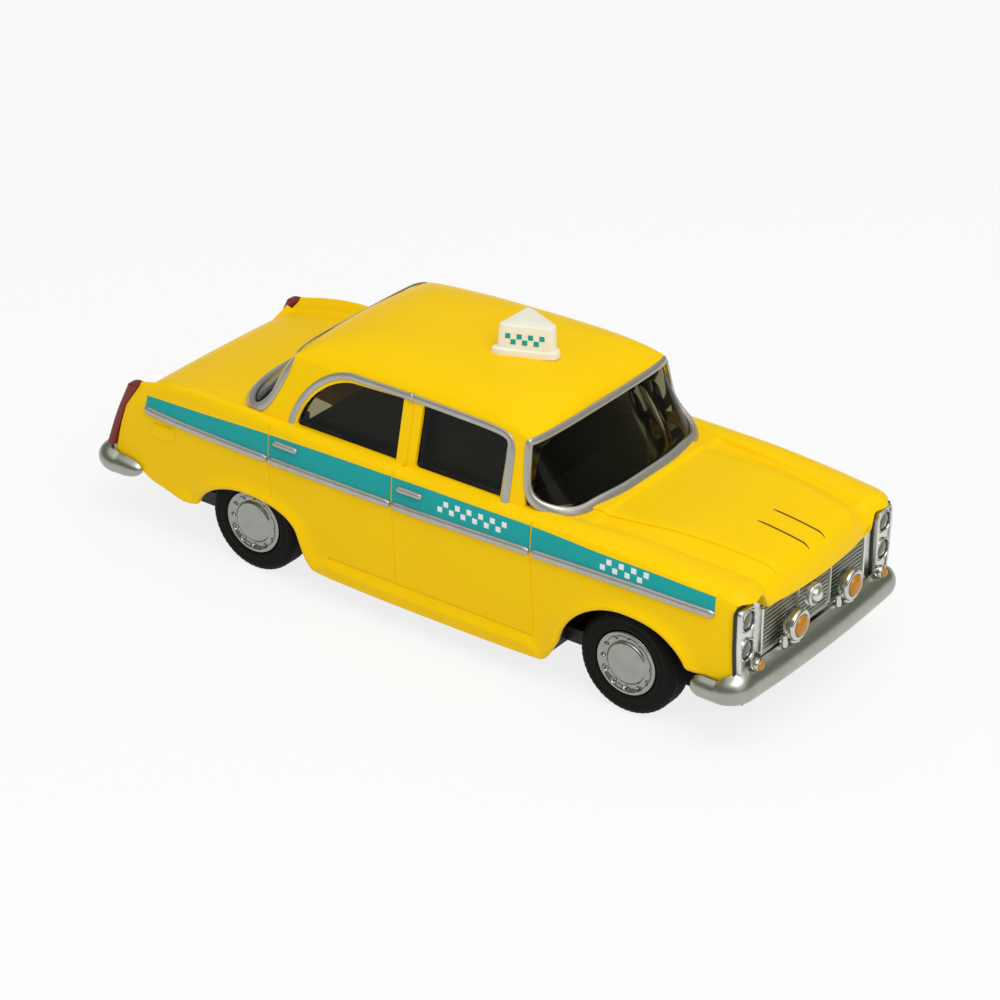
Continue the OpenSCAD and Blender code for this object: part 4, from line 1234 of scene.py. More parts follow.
    def bowed_frame(self, casting: Casting, rear: bool) -> tuple[Array, Array]:
        """Closed line of the windscreen's or rear window's frame, with its outward directions."""
        side = 85.5 if rear else 87.3
        line = self.loop(side, rear)
        angle = np.radians(line[:, 0])
        foot = self.bow(angle, np.full(len(angle), 16.4), rear)
        turned = np.abs(line[:, 0])
        low = mix(0.65, 0.05, smooth(50, 83, turned)) if rear else mix(0.12, 0.22, smooth(40, 75, turned))
        foot_z = casting.top(foot[:, 0], np.minimum(np.abs(foot[:, 1]), 11.0)) + low
        head_z = mix(22.6, 22.15, smooth(40, 80, turned)) if rear else np.full(len(angle), 21.98)
        z = mix(foot_z, head_z, line[:, 1])
        path = self.bow(angle, np.minimum(z, self.wall_top), rear)
        e = 1e-3
        across = self.bow(angle + e, z, rear) - self.bow(angle - e, z, rear)
        up = self.bow(angle, z + e, rear) - self.bow(angle, z - e, rear)
        out = unit(np.cross(across, up)) * (-1 if rear else 1)
        climb = np.maximum(z - self.wall_top, 0) / (self.roof_z - self.wall_top)
        curve = 1 - (1 - climb ** (1 / self.edge_power)) ** (1 / self.back_power)
        inward = curve * (AT.cabin - AT.rear_pillar)
        path = path * np.stack([np.ones_like(z), 1 - inward / 12, np.ones_like(z)], 1)
        path[:, 0] += inward
        path[:, 2] = z
        out[:, 2] += climb * 2.5
        rows = np.column_stack([path, out])
        even = resample(np.concatenate([rows, rows[:1]]), 0.2)[:-1]
        ease = mix(0.15, 1.0, smooth(19.5, 17.5, even[:, 2:3]))
        for _ in range(70):
            even = even + ease * (np.roll(even, 1, 0) / 4 + np.roll(even, -1, 0) / 4 - even / 2)
        return even[:, :3], unit(even[:, 3:])

    def loop(self, side: float, rear: bool) -> Array:
        """Closed (angle, height share) loop of a frame with rounded corners."""
        r_angle, r_share = (9.0, 0.3) if rear else (7.0, 0.2)
        t = np.linspace(0, math.pi / 2, 12)
        corner = np.stack([np.sin(t) * r_angle, (1 - np.cos(t)) * r_share], 1)
        low = np.linspace(-side + r_angle, side - r_angle, 120)
        right = corner + [side - r_angle, 0]
        top_corner = np.stack([side - (1 - np.cos(t)) * 3.0, 0.97 + np.sin(t) * 0.03], 1)
        left = np.concatenate([right, top_corner])
        top = np.linspace(side - 3.0, -side + 3.0, 120)
        return np.concatenate(
            [
                np.stack([low, np.zeros_like(low)], 1)[1:-1],
                left,
                np.stack([top, np.ones_like(top)], 1)[1:-1],
                (left * [-1, 1])[::-1],
            ]
        )


@dataclass
class BodyWork:
    """The painted body with its band, trims, handles and bonnet lines."""

    casting: Casting
    cabin: Cabin
    band_top: Keys = Keys(
        ((-29.4, 14.36), (-22.6, 14.74), (-14.5, 15.19), (0.1, 15.49), (7.1, 15.54), (15.0, 15.55))
        + ((21.1, 15.33), (27.2, 15.21), (32.7, 14.96))
    )
    trim: Keys = Keys(
        ((-30.2, 13.0), (-26.3, 12.82), (-22.4, 12.78), (-14.7, 12.75), (2.8, 12.85), (23.3, 13.35))
        + ((32.4, 13.35),)
    )
    trim_h: float = 0.8
    trim_out: float = 0.36
    gap: float = 0.1
    ends: tuple[float, float] = (-29.7, 32.5)
    handle_z: float = 14.62
    square: float = 0.5
    square_pitch: float = 0.62
    flap: tuple[float, float] = (-27.45, 11.25)
    line_y: float = 1.24

    def build(self, bench: Bench) -> None:
        """Builds the body and all that is fixed to its panels."""
        body = self.casting.solid(bench)
        bench.apply(body, self.casting.openings(bench, self.cabin), Cut.TAKE)
        bench.apply(body, [self.casting.lip(bench, side) for side in Side], Cut.JOIN)
        bench.apply(body, self.casting.grooves(bench), Cut.TAKE)
        bench.apply(body, [self.cabin.solid(bench)], Cut.JOIN)
        bench.apply(body, self.cabin.post_gaps(bench), Cut.TAKE)
        bench.show(body, YELLOW, "body_paint", stands_for=["body_shell"])
        for side in Side:
            self.bands(bench, side)
            self.handles(bench, side)
            self.chequers(bench, side)
        self.filler_flap(bench)
        self.bonnet_lines(bench)

    def spans(self) -> list[tuple[float, float]]:
        """Stretches of a side between the door gaps."""
        marks = [self.ends[0], *[x - 0.22 for x in AT.door_lines], self.ends[1]]
        return [
            (a + (self.gap if i else 0), b - (self.gap if i < 3 else 0))
            for i, (a, b) in enumerate(zip(marks, marks[1:]))
        ]

    def patch(self, x: Array, z: Array, side: Side, rise: float, sink: float) -> Mesh:
        """Thin sheet on a side panel over a grid of (x, z) points.

        Args:
            x: stations of the grid.
            z: heights of the grid.
            side: the side it lies on.
            rise: how far its face stands off the panel.
            sink: how far its back lies in the panel.

        Returns:
            Points and faces of a closed sheet.
        """
        y = self.casting.side(x.ravel(), z.ravel()).reshape(x.shape)
        face = np.stack([x, (y + rise) * side.value, z], -1)
        back = np.stack([x, (y - sink) * side.value, z], -1)
        rings = np.concatenate([face, back[:, ::-1]], axis=1)
        return skin(rings)

    def bands(self, bench: Bench, side: Side) -> None:
        """Builds the teal band and the silver trim below it."""
        for i, (a, b) in enumerate(self.spans()):
            x = np.linspace(a, b, max(int((b - a) / 0.35), 8))
            lean = 0.25 if i == 0 else 0.0
            share = np.linspace(0, 1, 9)[None]
            grid_x = np.repeat(x[:, None], 9, 1)
            grid_z = mix(self.trim.at(x)[:, None], self.band_top.at(x)[:, None], share)
            grid_x = grid_x + lean * share * (1 - smooth(a, a + 2, grid_x))
            name = f"{side.label}_{i + 1}"
            bench.piece("teal_band_" + name, self.patch(grid_x, grid_z, side, 0.025, 0.1), TEAL, "body_paint")
            xs = np.linspace(a, b, max(int((b - a) / 0.3), 8))
            z = self.trim.at(xs)
            points = np.stack([xs, self.casting.side(xs, z) * side.value, z], 1)
            strip = bead(self.trim_h, self.trim_out, 0.2)
            mesh = sweep(points, side.out(len(xs)), strip, False, tapered(xs, 0.35, 0.55))
            bench.piece("belt_trim_" + name, mesh, SILVER, "plated")

    def handles(self, bench: Bench, side: Side) -> None:
        """Builds the door handles."""
        for i, line in enumerate(AT.door_lines[:2]):
            x = line + np.linspace(0.45, 3.25, 40)
            z = np.full_like(x, self.handle_z)
            y = self.casting.side(x, z) + 0.05
            points = np.stack([x, y * side.value, z], 1)
            strip = bead(0.56, 0.34, 0.15)
            mesh = sweep(points, side.out(len(x)), strip, False, tapered(x, 0.4, 0.35))
            bench.piece(f"door_handle_{side.label}_{i + 1}", mesh, SILVER, "plated")

    def chequers(self, bench: Bench, side: Side) -> None:
        """Builds the rows of small white squares on the front door and the front wing."""
        pitch, size = self.square_pitch, self.square
        grid = np.linspace(0, size, 3)
        for name, start, count in (("door", 4.2, 12), ("wing", 21.2, 8)):
            squares = []
            for k in range(count):
                x0 = start + k * pitch
                middle = 0.5 * (float(self.trim.at(x0)) + 0.4 + float(self.band_top.at(x0)))
                z0 = middle + (0.0 if k % 2 else -pitch) + (pitch - size) / 2
                x, z = np.meshgrid(x0 + grid, z0 + grid, indexing="ij")
                squares.append(self.patch(x, z, side, 0.045, 0.02))
            bench.piece(f"chequer_{name}_{side.label}", merged(squares), WHITE, "body_paint")

    def filler_flap(self, bench: Bench) -> None:
        """Builds the raised filler flap on the right rear quarter."""
        outline = rounded([(-1.3, -0.72), (1.3, -0.6), (1.36, 0.78), (-1.24, 0.66)], 0.45, 8)
        rows = []
        steps = [(1.0, -0.2), (1.0, 0.1), (0.97, 0.15), (0.92, 0.17), (0.84, 0.15), (0.8, 0.1), (0.4, 0.1)]
        for grow, rise in steps:
            x, z = (outline * grow + self.flap).T
            rows.append(np.stack([x, -(self.casting.side(x, z) + rise), z], 1))
        bench.piece("filler_flap", skin(np.array(rows)), YELLOW, "body_paint")

    def bonnet_lines(self, bench: Bench) -> None:
        """Builds the two dark lines on the bonnet."""
        for side in Side:
            x = np.linspace(29.4, 34.6, 40)
            y = np.full_like(x, self.line_y * side.value)
            points = np.stack([x, y, self.casting.top(x, y)], 1)
            up = np.tile([0.0, 0.0, 1.0], (len(x), 1))
            end = np.minimum(np.minimum(x - x[0], x[-1] - x) / 0.5, 1)
            mesh = sweep(points, up, bead(0.2, 0.06, 0.1), False, 0.4 + 0.6 * end)
            bench.piece(f"bonnet_line_{side.label}", mesh, BROWN, "body_paint")


@dataclass
class Wheel:
    """One wheel: tyre and hub."""

    rider: Rider
    side: Side
    x: float
    radius: float = 4.9
    face_y: float = 11.45
    width: float = 3.0
    rim_r: float = 3.0
    barrel_r: float = 2.75
    dimples: int = 12
    dimple_r: float = 2.42
    dimple_d: float = 0.16
    cuts: int = 54

    def label(self) -> str:
        """The wheel's place in words."""
        return ("front" if self.rider is Rider.FRONT else "rear") + "_" + self.side.label

    def build(self, bench: Bench) -> None:
        """Builds the tyre and the hub."""
        place = (self.x, self.face_y * self.side.value, AT.axle_z, self.side.value)
        tyre = hoop(along_y(lathe(self.tyre_profile(), 216, self.tread), *place))
        hub = skin(along_y(lathe(self.hub_profile(), 240, self.dimpled), *place))
        name = self.label()
        bench.show(bench.solid("rubber_" + name, tyre), RUBBER, "tyre", self.rider, ["tyre_" + name])
        bench.show(bench.solid("disc_" + name, hub), HUB, "plated", self.rider, ["hub_" + name], 40)

    def tyre_profile(self) -> list[tuple[float, float]]:
        """Section of the tyre as (radius, height from its outer face)."""
        r, w, turn = self.radius, self.width, 0.75
        a = np.radians(np.linspace(90, 0, 12))
        outer = [(r - turn + turn * math.cos(t), -turn + turn * math.sin(t)) for t in a]
        tread: list[tuple[float, float]] = []
        for h in (-1.05, -1.5, -1.95):
            tread += [(r, h + 0.12), (r - 0.09, h + 0.07), (r - 0.09, h - 0.07), (r, h - 0.12)]
        inner = [(r - turn + turn * math.cos(t), -w + turn - turn * math.sin(t)) for t in a[::-1]]
        start = [(self.barrel_r, -w), (self.barrel_r, -0.46), (3.05, -0.46), (3.05, -0.2), (3.12, -0.1)]
        wall = [(3.25, -0.03), (3.45, 0.0), (3.62, 0.0), (3.7, -0.03), (3.9, -0.03), (3.98, 0.0)]
        return start + wall + outer + tread + inner

    def tread(self, r: Array, h: Array, turn: Array) -> tuple[Array, Array]:
        """Fine cross cuts at the tyre's shoulders."""
        shoulder = np.exp(-(((r - self.radius + 0.25) / 0.28) ** 2))
        cuts = np.clip(np.cos(turn * self.cuts) * 3, -1, 1) * 0.5 + 0.5
        return r - 0.05 * shoulder * cuts, h

    def hub_profile(self) -> list[tuple[float, float]]:
        """Section of the hub as (radius, height from the tyre's outer face)."""
        r = self.rim_r
        back = [(TIP, -2.8), (self.barrel_r, -2.8), (self.barrel_r, -0.45), (r, -0.45), (r, -0.12)]
        line = [(r, -0.12), (r - 0.05, -0.03), (r - 0.15, 0.01), (r - 0.28, 0.0), (r - 0.4, -0.09)]
        line += [(r - 0.55, -0.24), (r - 0.72, -0.3), (r - 0.9, -0.28), (r - 1.02, -0.2), (r - 1.1, -0.1)]
        line += [(r - 1.18, -0.045), (r - 1.35, -0.02), (1.2, 0.015)]
        line += [(0.8, 0.035), (0.4, 0.05), (TIP, 0.055)]
        dense = resample(np.array(line), 0.045)
        return back[:-1] + [tuple(p) for p in dense]

    def dimpled(self, r: Array, h: Array, turn: Array) -> tuple[Array, Array]:
        """Ring of small round dimples between the rim and the middle."""
        pitch = 2 * math.pi / self.dimples
        off = (turn + pitch / 2) % pitch - pitch / 2
        gap = np.hypot(r - self.dimple_r, r * off)
        face = (h > -0.4) & (r < 2.9)
        bowl = np.exp(-((gap / 0.17) ** 4)) * self.dimple_d
        rim = np.exp(-(((gap - 0.25) / 0.08) ** 2)) * 0.035
        return r, h - (bowl - rim) * face


@dataclass
class Front:
    """The plated front: grille, lamps, bumper and fog lamps."""

    lamp_y: float = 10.85
    lamp_z: tuple[float, float] = (10.15, 12.9)
    lamp_r: float = 1.0
    bars: int = 11
    bar_z: tuple[float, float] = (8.75, 12.6)
    field_d: float = 0.2
    field_half: float = 8.05
    field_z: tuple[float, float] = (8.55, 12.74)
    boss_z: float = 10.5
    fog_y: float = 4.3
    fog_z: float = 9.9
    fog_x: float = 34.76
    bezel_z: float = 11.75
    tab: tuple[float, float] = (5.64, 6.2)

    def build(self, bench: Bench) -> None:
        """Builds all the pieces of the front."""
        self.grille(bench)
        self.lamps(bench)
        self.bumper(bench)
        for side in Side:
            self.fog_lamp(bench, side)
            self.indicator(bench, side)

    def grille(self, bench: Bench) -> None:
        """Builds the grille: plate, bars, boss and lamp bezels."""
        half = [(-11.02, 6.5), (-11.02, 14.2), (-8.97, 14.2), (-8.25, 12.8)]
        outline = rounded([*half, *[(-y, z) for y, z in reversed(half)]], 0.15, 3)
        plate = bench.solid("grille_plate", prism(outline, AT.grille, AT.fender, "x"))
        floor = AT.fender - self.field_d
        side_y, (low, high) = self.field_half, self.field_z
        sunk = rounded([(-side_y, low), (side_y, low), (side_y, high), (-side_y, high)], 0.1, 3)
        bench.apply(plate, [bench.solid("field", prism(sunk, floor, 60, "x"))], Cut.TAKE)
        cut, join = [], []

        def strip(name: str, x: float, y: Any, z: Any, profile: Array) -> None:
            """Adds a raised strip that faces forwards."""
            points = np.stack(np.broadcast_arrays(x, y, z), 1).astype(float)
            out = np.tile([1.0, 0.0, 0.0], (len(points), 1))
            join.append(bench.solid(name, sweep(points, out, profile)))

        low, high = self.bar_z
        pitch = (high - low) / (self.bars - 1)
        for i in range(self.bars):
            profile = bead(pitch * 0.45, self.field_d + 0.04, 0.05, 8)
            strip("bar", floor, np.linspace(-8.0, 8.0, 24), low + i * pitch, profile)
        for y, width in ((-8.15, 0.3), (8.15, 0.3), (-2.6, 0.12), (2.6, 0.12)):
            strip("stile", AT.fender, y, np.linspace(8.5, 12.75, 12), bead(width, 0.3, 0.1, 8))
        strip("rail", AT.fender, np.linspace(-8.4, 8.4, 40), 8.45, bead(0.34, 0.34, 0.1, 8))
        boss = [(TIP, -0.1), (1.1, -0.1), (1.1, 0.3), (1.02, 0.42), (0.86, 0.44), (0.78, 0.34)]
        boss += [(0.72, 0.5), (0.62, 0.72), (0.42, 0.88), (0.2, 0.95), (TIP, 0.97)]
        join.append(bench.solid("boss", knob(boss, 48, AT.fender, 0.0, self.boss_z)))
        for side in Side:
            join.append(self.bezel(bench, side))
            self.surround(bench, side)
            cut += [self.pocket(bench, side, z) for z in self.lamp_z]
        bench.apply(plate, join, Cut.JOIN)
        bench.apply(plate, cut, Cut.TAKE)
        bench.show(plate, GRILLE, "plated", stands_for=["front_grille"])
        # Dark sheet on the recess floor behind the bars: painted shade in the gaps between them.
        ground = prism(sunk * 0.995 + [0, 0.05], floor - 0.02, floor + 0.1, "x")
        bench.piece("grille_ground", ground, GRILLE_PAINTED_SHADE, "plated")

    def bezel_line(self, side: Side) -> tuple[Array, Array]:
        """Outline of a lamp bezel about its middle, and the middle in (y, z)."""
        corners = [(-0.95, -4.1), (1.05, -4.1), (1.16, 0.4), (1.1, 2.45), (-1.3, 2.45), (-1.25, -1.2)]
        outline = rounded(corners, [0.6, 0.55, 0.8, 0.9, 0.6, 0.9], 8) * [-side.value, 1]
        return outline, np.array([self.lamp_y * side.value, self.bezel_z])

    def surround(self, bench: Bench, side: Side) -> None:
        """Builds the dark ring behind a lamp bezel, painted shadow in the gap round it."""
        outline, middle = self.bezel_line(side)
        rows = []
        for x, grow in ((-0.06, 0.26), (0.1, 0.26), (0.14, 0.2), (0.14, 0.05)):
            grown = outline * (1 + grow / np.abs(outline).max(0)) + middle
            rows.append(np.column_stack([np.full(len(outline), AT.fender + x), grown]))
        # Dark ring in the gap round the bezel: painted shadow.
        bench.piece("lamp_seat_" + side.label, skin(np.array(rows)), BLACK_BASE_AND_SHADE, "chassis")

    def bezel(self, bench: Bench, side: Side) -> bpy.types.Object:
        """Builds the upright bezel round a pair of lamps."""
        outline, middle = self.bezel_line(side)
        rows = []
        steps = [(-0.1, 0.0), (0.42, 0.0), (0.5, -0.03), (0.55, -0.1)]
        steps += [(0.56, -0.2), (0.5, -0.27), (0.36, -0.3)]
        for x, grow in steps:
            shrunk = outline * (1 + grow / np.abs(outline).max(0))
            rows.append(np.column_stack([np.full(len(outline), AT.fender + x), shrunk + middle]))
        return bench.solid("bezel", skin(np.array(rows)))

    def pocket(self, bench: Bench, side: Side, z: float) -> bpy.types.Object:
        """Builds the cutter of one lamp's bowl."""
        r = self.lamp_r
        bowl = [(TIP, -0.35), (0.5, -0.3), (0.8, -0.12), (r, 0.12), (r, 2.0), (TIP, 2.0)]
        return bench.solid("pocket", knob(bowl, 48, AT.fender, self.lamp_y * side.value, z))

    def lamps(self, bench: Bench) -> None:
        """Builds the headlamps' rims and lenses."""
        rim = [(0.9, 0.1), (1.06, 0.1), (1.08, 0.5), (1.02, 0.58), (0.94, 0.56), (0.9, 0.45)]
        lenses = []
        for side in Side:
            for word, z in zip(("low", "high"), self.lamp_z):
                place = (AT.fender, self.lamp_y * side.value, z)
                ring = hoop(along_x(lathe(rim, 48), *place))
                bench.piece(f"lamp_rim_{word}_{side.label}", ring, CHROME, "plated")
                lenses.append(knob(dome(0.9, 0.02, 0.15, 0.4, 12), 48, *place))
        # Opaque dark lens domes: painted shade and dark reflection of the lamp bowls behind them.
        glass = bench.solid("headlamp_glass", merged(lenses))
        bench.show(glass, LAMP_LENS_PAINTED_SHADE, "lens_clear", stands_for=["headlamp_lenses"])

    def bumper(self, bench: Bench) -> None:
        """Builds the front bumper's blade and its tab."""
        blade = Blade(34.73, 1, 12.5, 1.6, 2.6, 1.37, 5.35, 8.35, 7.3, taper=1.2)
        tab = np.array([(31.0, -4.6), (35.3, -4.6), (35.3, 4.6), (31.0, 4.6)])
        piece = blade.solid(bench, "front_blade")
        bench.apply(piece, [bench.solid("tab", prism(rounded(tab, 0.3), *self.tab, "z"))], Cut.JOIN)
        bench.show(piece, BUMPER, "plated", stands_for=["front_bumper"], crease=50)

    def fog_lamp(self, bench: Bench, side: Side) -> None:
        """Builds a fog lamp: drum, lens and the bracket that holds it."""
        y, name = self.fog_y * side.value, side.label
        drum = [(TIP, 0.0), (0.7, 0.0), (1.0, 0.06), (1.25, 0.2), (1.39, 0.42), (1.45, 0.7), (1.46, 1.05)]
        drum += [(1.42, 1.22), (1.34, 1.33), (1.2, 1.39), (1.04, 1.36), (0.97, 1.2), (TIP, 1.15)]
        piece = bench.solid("fog_drum_" + name, knob(drum, 56, self.fog_x, y, self.fog_z))
        stem = [(0.62, 8.3), (0.6, 8.5), (0.42, 8.6), (0.4, 8.9), (0.4, 9.6)]
        rings = lathe([(TIP, 8.3), *stem, (TIP, 9.6)], 24) + np.array([35.35, y, 0.0])
        feet = [bench.solid("stem", skin(rings))]
        lug = [(TIP, 8.2), (0.36, 8.2), (0.38, 8.6), (0.3, 8.85), (0.34, 9.1), (0.26, 9.3), (TIP, 9.36)]
        for way in (-1, 1):
            rings = lathe(lug, 20) + np.array([35.2, y + way * 1.25, 0.0])
            feet.append(bench.solid("lug", skin(rings)))
        bench.apply(piece, feet, Cut.JOIN)
        bench.show(piece, CHROME, "plated", stands_for=["fog_lamp_" + name])
        glass = knob(dome(0.98, 0.0, 0.1, 0.58, 14), 56, 35.92, y, self.fog_z)
        lens = bench.solid("fog_glass_" + name, glass)
        bench.show(lens, AMBER, "lens_amber", stands_for=["fog_lens_" + name])

    def indicator(self, bench: Bench, side: Side) -> None:
        """Builds the small bullet-shaped lamp at an end of the grille's foot."""
        place = (35.0, 9.9 * side.value, 8.5)
        shell = [(TIP, 0.0), (0.5, 0.0), (0.58, 0.15), (0.6, 0.4), (0.55, 0.6), (0.46, 0.68), (TIP, 0.68)]
        bench.piece("indicator_shell_" + side.label, knob(shell, 32, *place), CHROME, "plated")
        lens = knob(dome(0.44, 0.6, 0.66, 0.34, 10), 32, *place)
        bench.piece("indicator_glass_" + side.label, lens, AMBER, "lens_amber")


@dataclass(frozen=True)
class Blade:
    """A bumper's blade swept along a path that wraps the corners."""

    x: float
    way: int
    half: float
    corner: float
    side: float
    depth: float
    low: float
    high: float
    end_high: float
    bow: float = 0.35
    thin: float = 0.55
    taper: float = 1.7

    def path(self) -> Array:
        """Rows of (forward, across, turn in degrees) along the blade's back."""
        a = np.linspace(90, 0, 16)
        t = np.linspace(0.98, -0.98, 60)
        r = self.corner
        start = [(-r - self.side * k**1.5, self.half, 90.0) for k in np.linspace(1, 0.05, 14)]
        arc = [(math.cos(math.radians(d)), math.sin(math.radians(d)), d) for d in a]
        turn = [(-r + r * c, self.half - r + r * s, d) for c, s, d in arc]
        front = [(self.bow * (1 - k**2), (self.half - r) * k, 0.0) for k in t]
        left = start + turn
        return np.array(left + front + [(f, -y, -d) for f, y, d in reversed(left)])

    def solid(self, bench: Bench, name: str) -> bpy.types.Object:
        """Builds the blade."""
        base = np.array([[0, 0.1], [0.45, 0], [0.85, 0.16], [1, 0.42], [0.9, 0.66], [0.55, 0.86], [0, 1]])
        outline = softened(base, 2)
        rows = []
        path = self.path()
        run = np.concatenate([[0], np.cumsum(np.linalg.norm(np.diff(path[:, :2], axis=0), axis=1))])
        for i, (f, y, d) in enumerate(path):
            wrap = (abs(d) / 90) ** 2
            depth = self.depth * mix(1, self.thin, wrap)
            top = mix(self.high, self.end_high, wrap)
            end = min(run[i], run[-1] - run[i]) / self.taper
            close = math.sqrt(max(1 - (1 - min(end, 1)) ** 2, 0.03))
            turn = math.radians(d)
            out = outline[:, 0] * depth * close
            middle = (self.low + top) / 2
            z = middle + (mix(self.low, top, outline[:, 1]) - middle) * close
            rows.append(
                np.stack([self.x + self.way * (f + math.cos(turn) * out), y + math.sin(turn) * out, z], 1)
            )
        return bench.solid(name, skin(np.array(rows)))


@dataclass
class Rear:
    """The rear: bumper and tail lamps."""

    lamp_y: float = 11.455
    lamp_w: float = 1.35

    def build(self, bench: Bench) -> None:
        """Builds the pieces of the rear."""
        piece = Blade(-34.65, -1, 12.03, 1.5, 2.8, 1.6, 5.35, 7.95, 7.3, taper=2.3).solid(bench, "rear_blade")
        tab = rounded([(-35.2, -4.6), (-26.6, -4.6), (-26.6, 4.6), (-35.2, 4.6)], 0.3)
        bench.apply(piece, [bench.solid("tab", prism(tab, 5.64, 6.2, "z"))], Cut.JOIN)
        bench.show(piece, BUMPER, "plated", stands_for=["rear_bumper"], crease=50)
        for side in Side:
            self.tail_lamp(bench, side)

    def tail_lamp(self, bench: Bench, side: Side) -> None:
        """Builds a tail lamp that follows the rear edge of its wing."""
        front = softened(np.array(LAMP_LINE), 3)
        back = softened(np.array([(-31.85, 14.85), (-33.4, 11.5), (-34.15, 9.4), (-34.65, 8.03)]), 3)
        rows = []
        foot = 8.03 + 0.12 * np.linspace(0, 1, 4) ** 2
        a = np.linspace(0, 2 * math.pi, 40, endpoint=False)
        c, s = np.cos(a), np.sin(a)
        power = 0.55
        for z in np.concatenate([foot, np.linspace(8.3, 14.7, 40), np.linspace(14.75, 15.03, 8)]):
            xf = np.interp(z, front[::-1, 1], front[::-1, 0]) - 0.06
            xb = np.interp(min(z, 14.85), back[::-1, 1], back[::-1, 0])
            close = math.sqrt(max(1 - smooth(14.8, 15.06, z) ** 2, 0.02))
            xm = mix(xf, mix(xf, xb, 0.5), close)
            px = xm + np.sign(c) * np.abs(c) ** power * abs(xf - xb) / 2 * close
            py = np.sign(s) * np.abs(s) ** power * self.lamp_w / 2 * (0.6 + 0.4 * close)
            rows.append(np.stack([px, self.lamp_y * side.value + py, np.full(len(a), z)], 1))
        name = side.label
        lens = bench.solid("tail_glass_" + name, skin(np.array(rows)))
        bench.show(lens, RED, "lens_red", stands_for=["tail_lamp_" + name])


@dataclass
class RoofSign:
    """The wedge-shaped sign on the roof, with plain chequers on its long faces."""

    x: float = 4.95
    z: float = 24.67
    width: float = 4.6
    length: float = 4.7
    height: float = 2.75
    lean: float = 0.07
    straight: float = 0.6
    nose: float = 0.5
    square: float = 0.48
    square_pitch: float = 0.53

    def plan(self, grow: float, radius: float) -> Array:
        """Outline of the sign in plan, larger by grow."""
        half, w = self.length / 2, self.width / 2
        corners = [(-half - grow, w + grow), (-half - grow, -w - grow), (self.straight - half, -w - grow)]
        corners += [(half + grow, -self.nose), (half + grow, self.nose), (self.straight - half, w + grow)]
        return rounded(corners, [radius, radius, 0.4, 0.35, 0.35, 0.4], 5)

    def tier(self, bench: Bench, name: str, sizes: tuple[float, float, float, float]) -> bpy.types.Object:
        """Builds one step of the sign with softened edges.

        Args:
            bench: makes the solid.
            name: the solid's name.
            sizes: how much larger than the sign it is, its low and high places, and its edge.

        Returns:
            The solid.
        """
        grow, low, high, edge = sizes
        rows = []
        soft = [(high - edge * 0.35, edge * 0.12), (high - edge * 0.08, edge * 0.5), (high, edge)]
        for z, shrink in ((low, 0.0), (high - edge, 0.0), *soft):
            leant = 1 - self.lean * max(z, 0) / self.height
            outline = self.plan(grow - shrink, 0.25) * leant + [self.x, 0.0]
            rows.append(np.column_stack([outline, np.full(len(outline), self.z + z)]))
        return bench.solid(name, skin(np.array(rows)))

    def build(self, bench: Bench) -> None:
        """Builds the sign and the chequers on its two long faces."""
        sign = self.tier(bench, "taxi_sign", (0.0, -0.1, self.height, 0.22))
        bench.apply(sign, [self.tier(bench, "foot", (0.35, -0.12, 0.5, 0.14))], Cut.JOIN)
        bench.show(sign, IVORY, "sign", stands_for=["roof_sign"])
        for side in Side:
            self.chequer(bench, side)

    def chequer(self, bench: Bench, side: Side) -> None:
        """Builds two rows of teal squares on one long face."""
        start = np.array([self.straight - self.length / 2, -self.width / 2])
        stop = np.array([self.length / 2, -self.nose])
        along = unit(stop - start)
        out = np.array([along[1], -along[0]])
        sheet = [(0, 1, 2, 3), (7, 6, 5, 4), (0, 4, 5, 1), (1, 5, 6, 2), (2, 6, 7, 3), (3, 7, 4, 0)]
        squares: list[Mesh] = []
        size, pitch = self.square, self.square_pitch
        for k in range(7):
            z0 = 0.95 + (0.0 if k % 2 else pitch)
            corners = []
            for lift in (0.02, -0.1):
                for u, v in ((0, 0), (1, 0), (1, 1), (0, 1)):
                    z = z0 + v * size
                    leant = 1 - self.lean * z / self.height
                    p = (start + along * (0.22 + k * pitch + u * size)) * leant + out * lift
                    corners.append((p[0] + self.x, -p[1] * side.value, z + self.z))
            squares.append((np.array(corners), sheet))
        bench.piece(f"sign_chequer_{side.label}", merged(squares), TEAL, "sign")


@dataclass
class Underside:
    """The pieces of the frame that are shown as they are: inside, base, screws and axles."""

    nodes: dict[str, bpy.types.Object]

    def build(self, bench: Bench) -> None:
        """Dresses the frame's own nodes."""
        finishes = {
            "interior": TRIM_BLACK,
            "chassis": BLACK_BASE_AND_SHADE,
            "base_screws": STEEL,
            "front_axle": STEEL,
            "rear_axle": STEEL,
        }
        for name, finish in finishes.items():
            node = self.nodes[name]
            node.data.materials.clear()
            node.data.materials.append(bench.finish(finish))
            LOG.info("%s dressed", name)


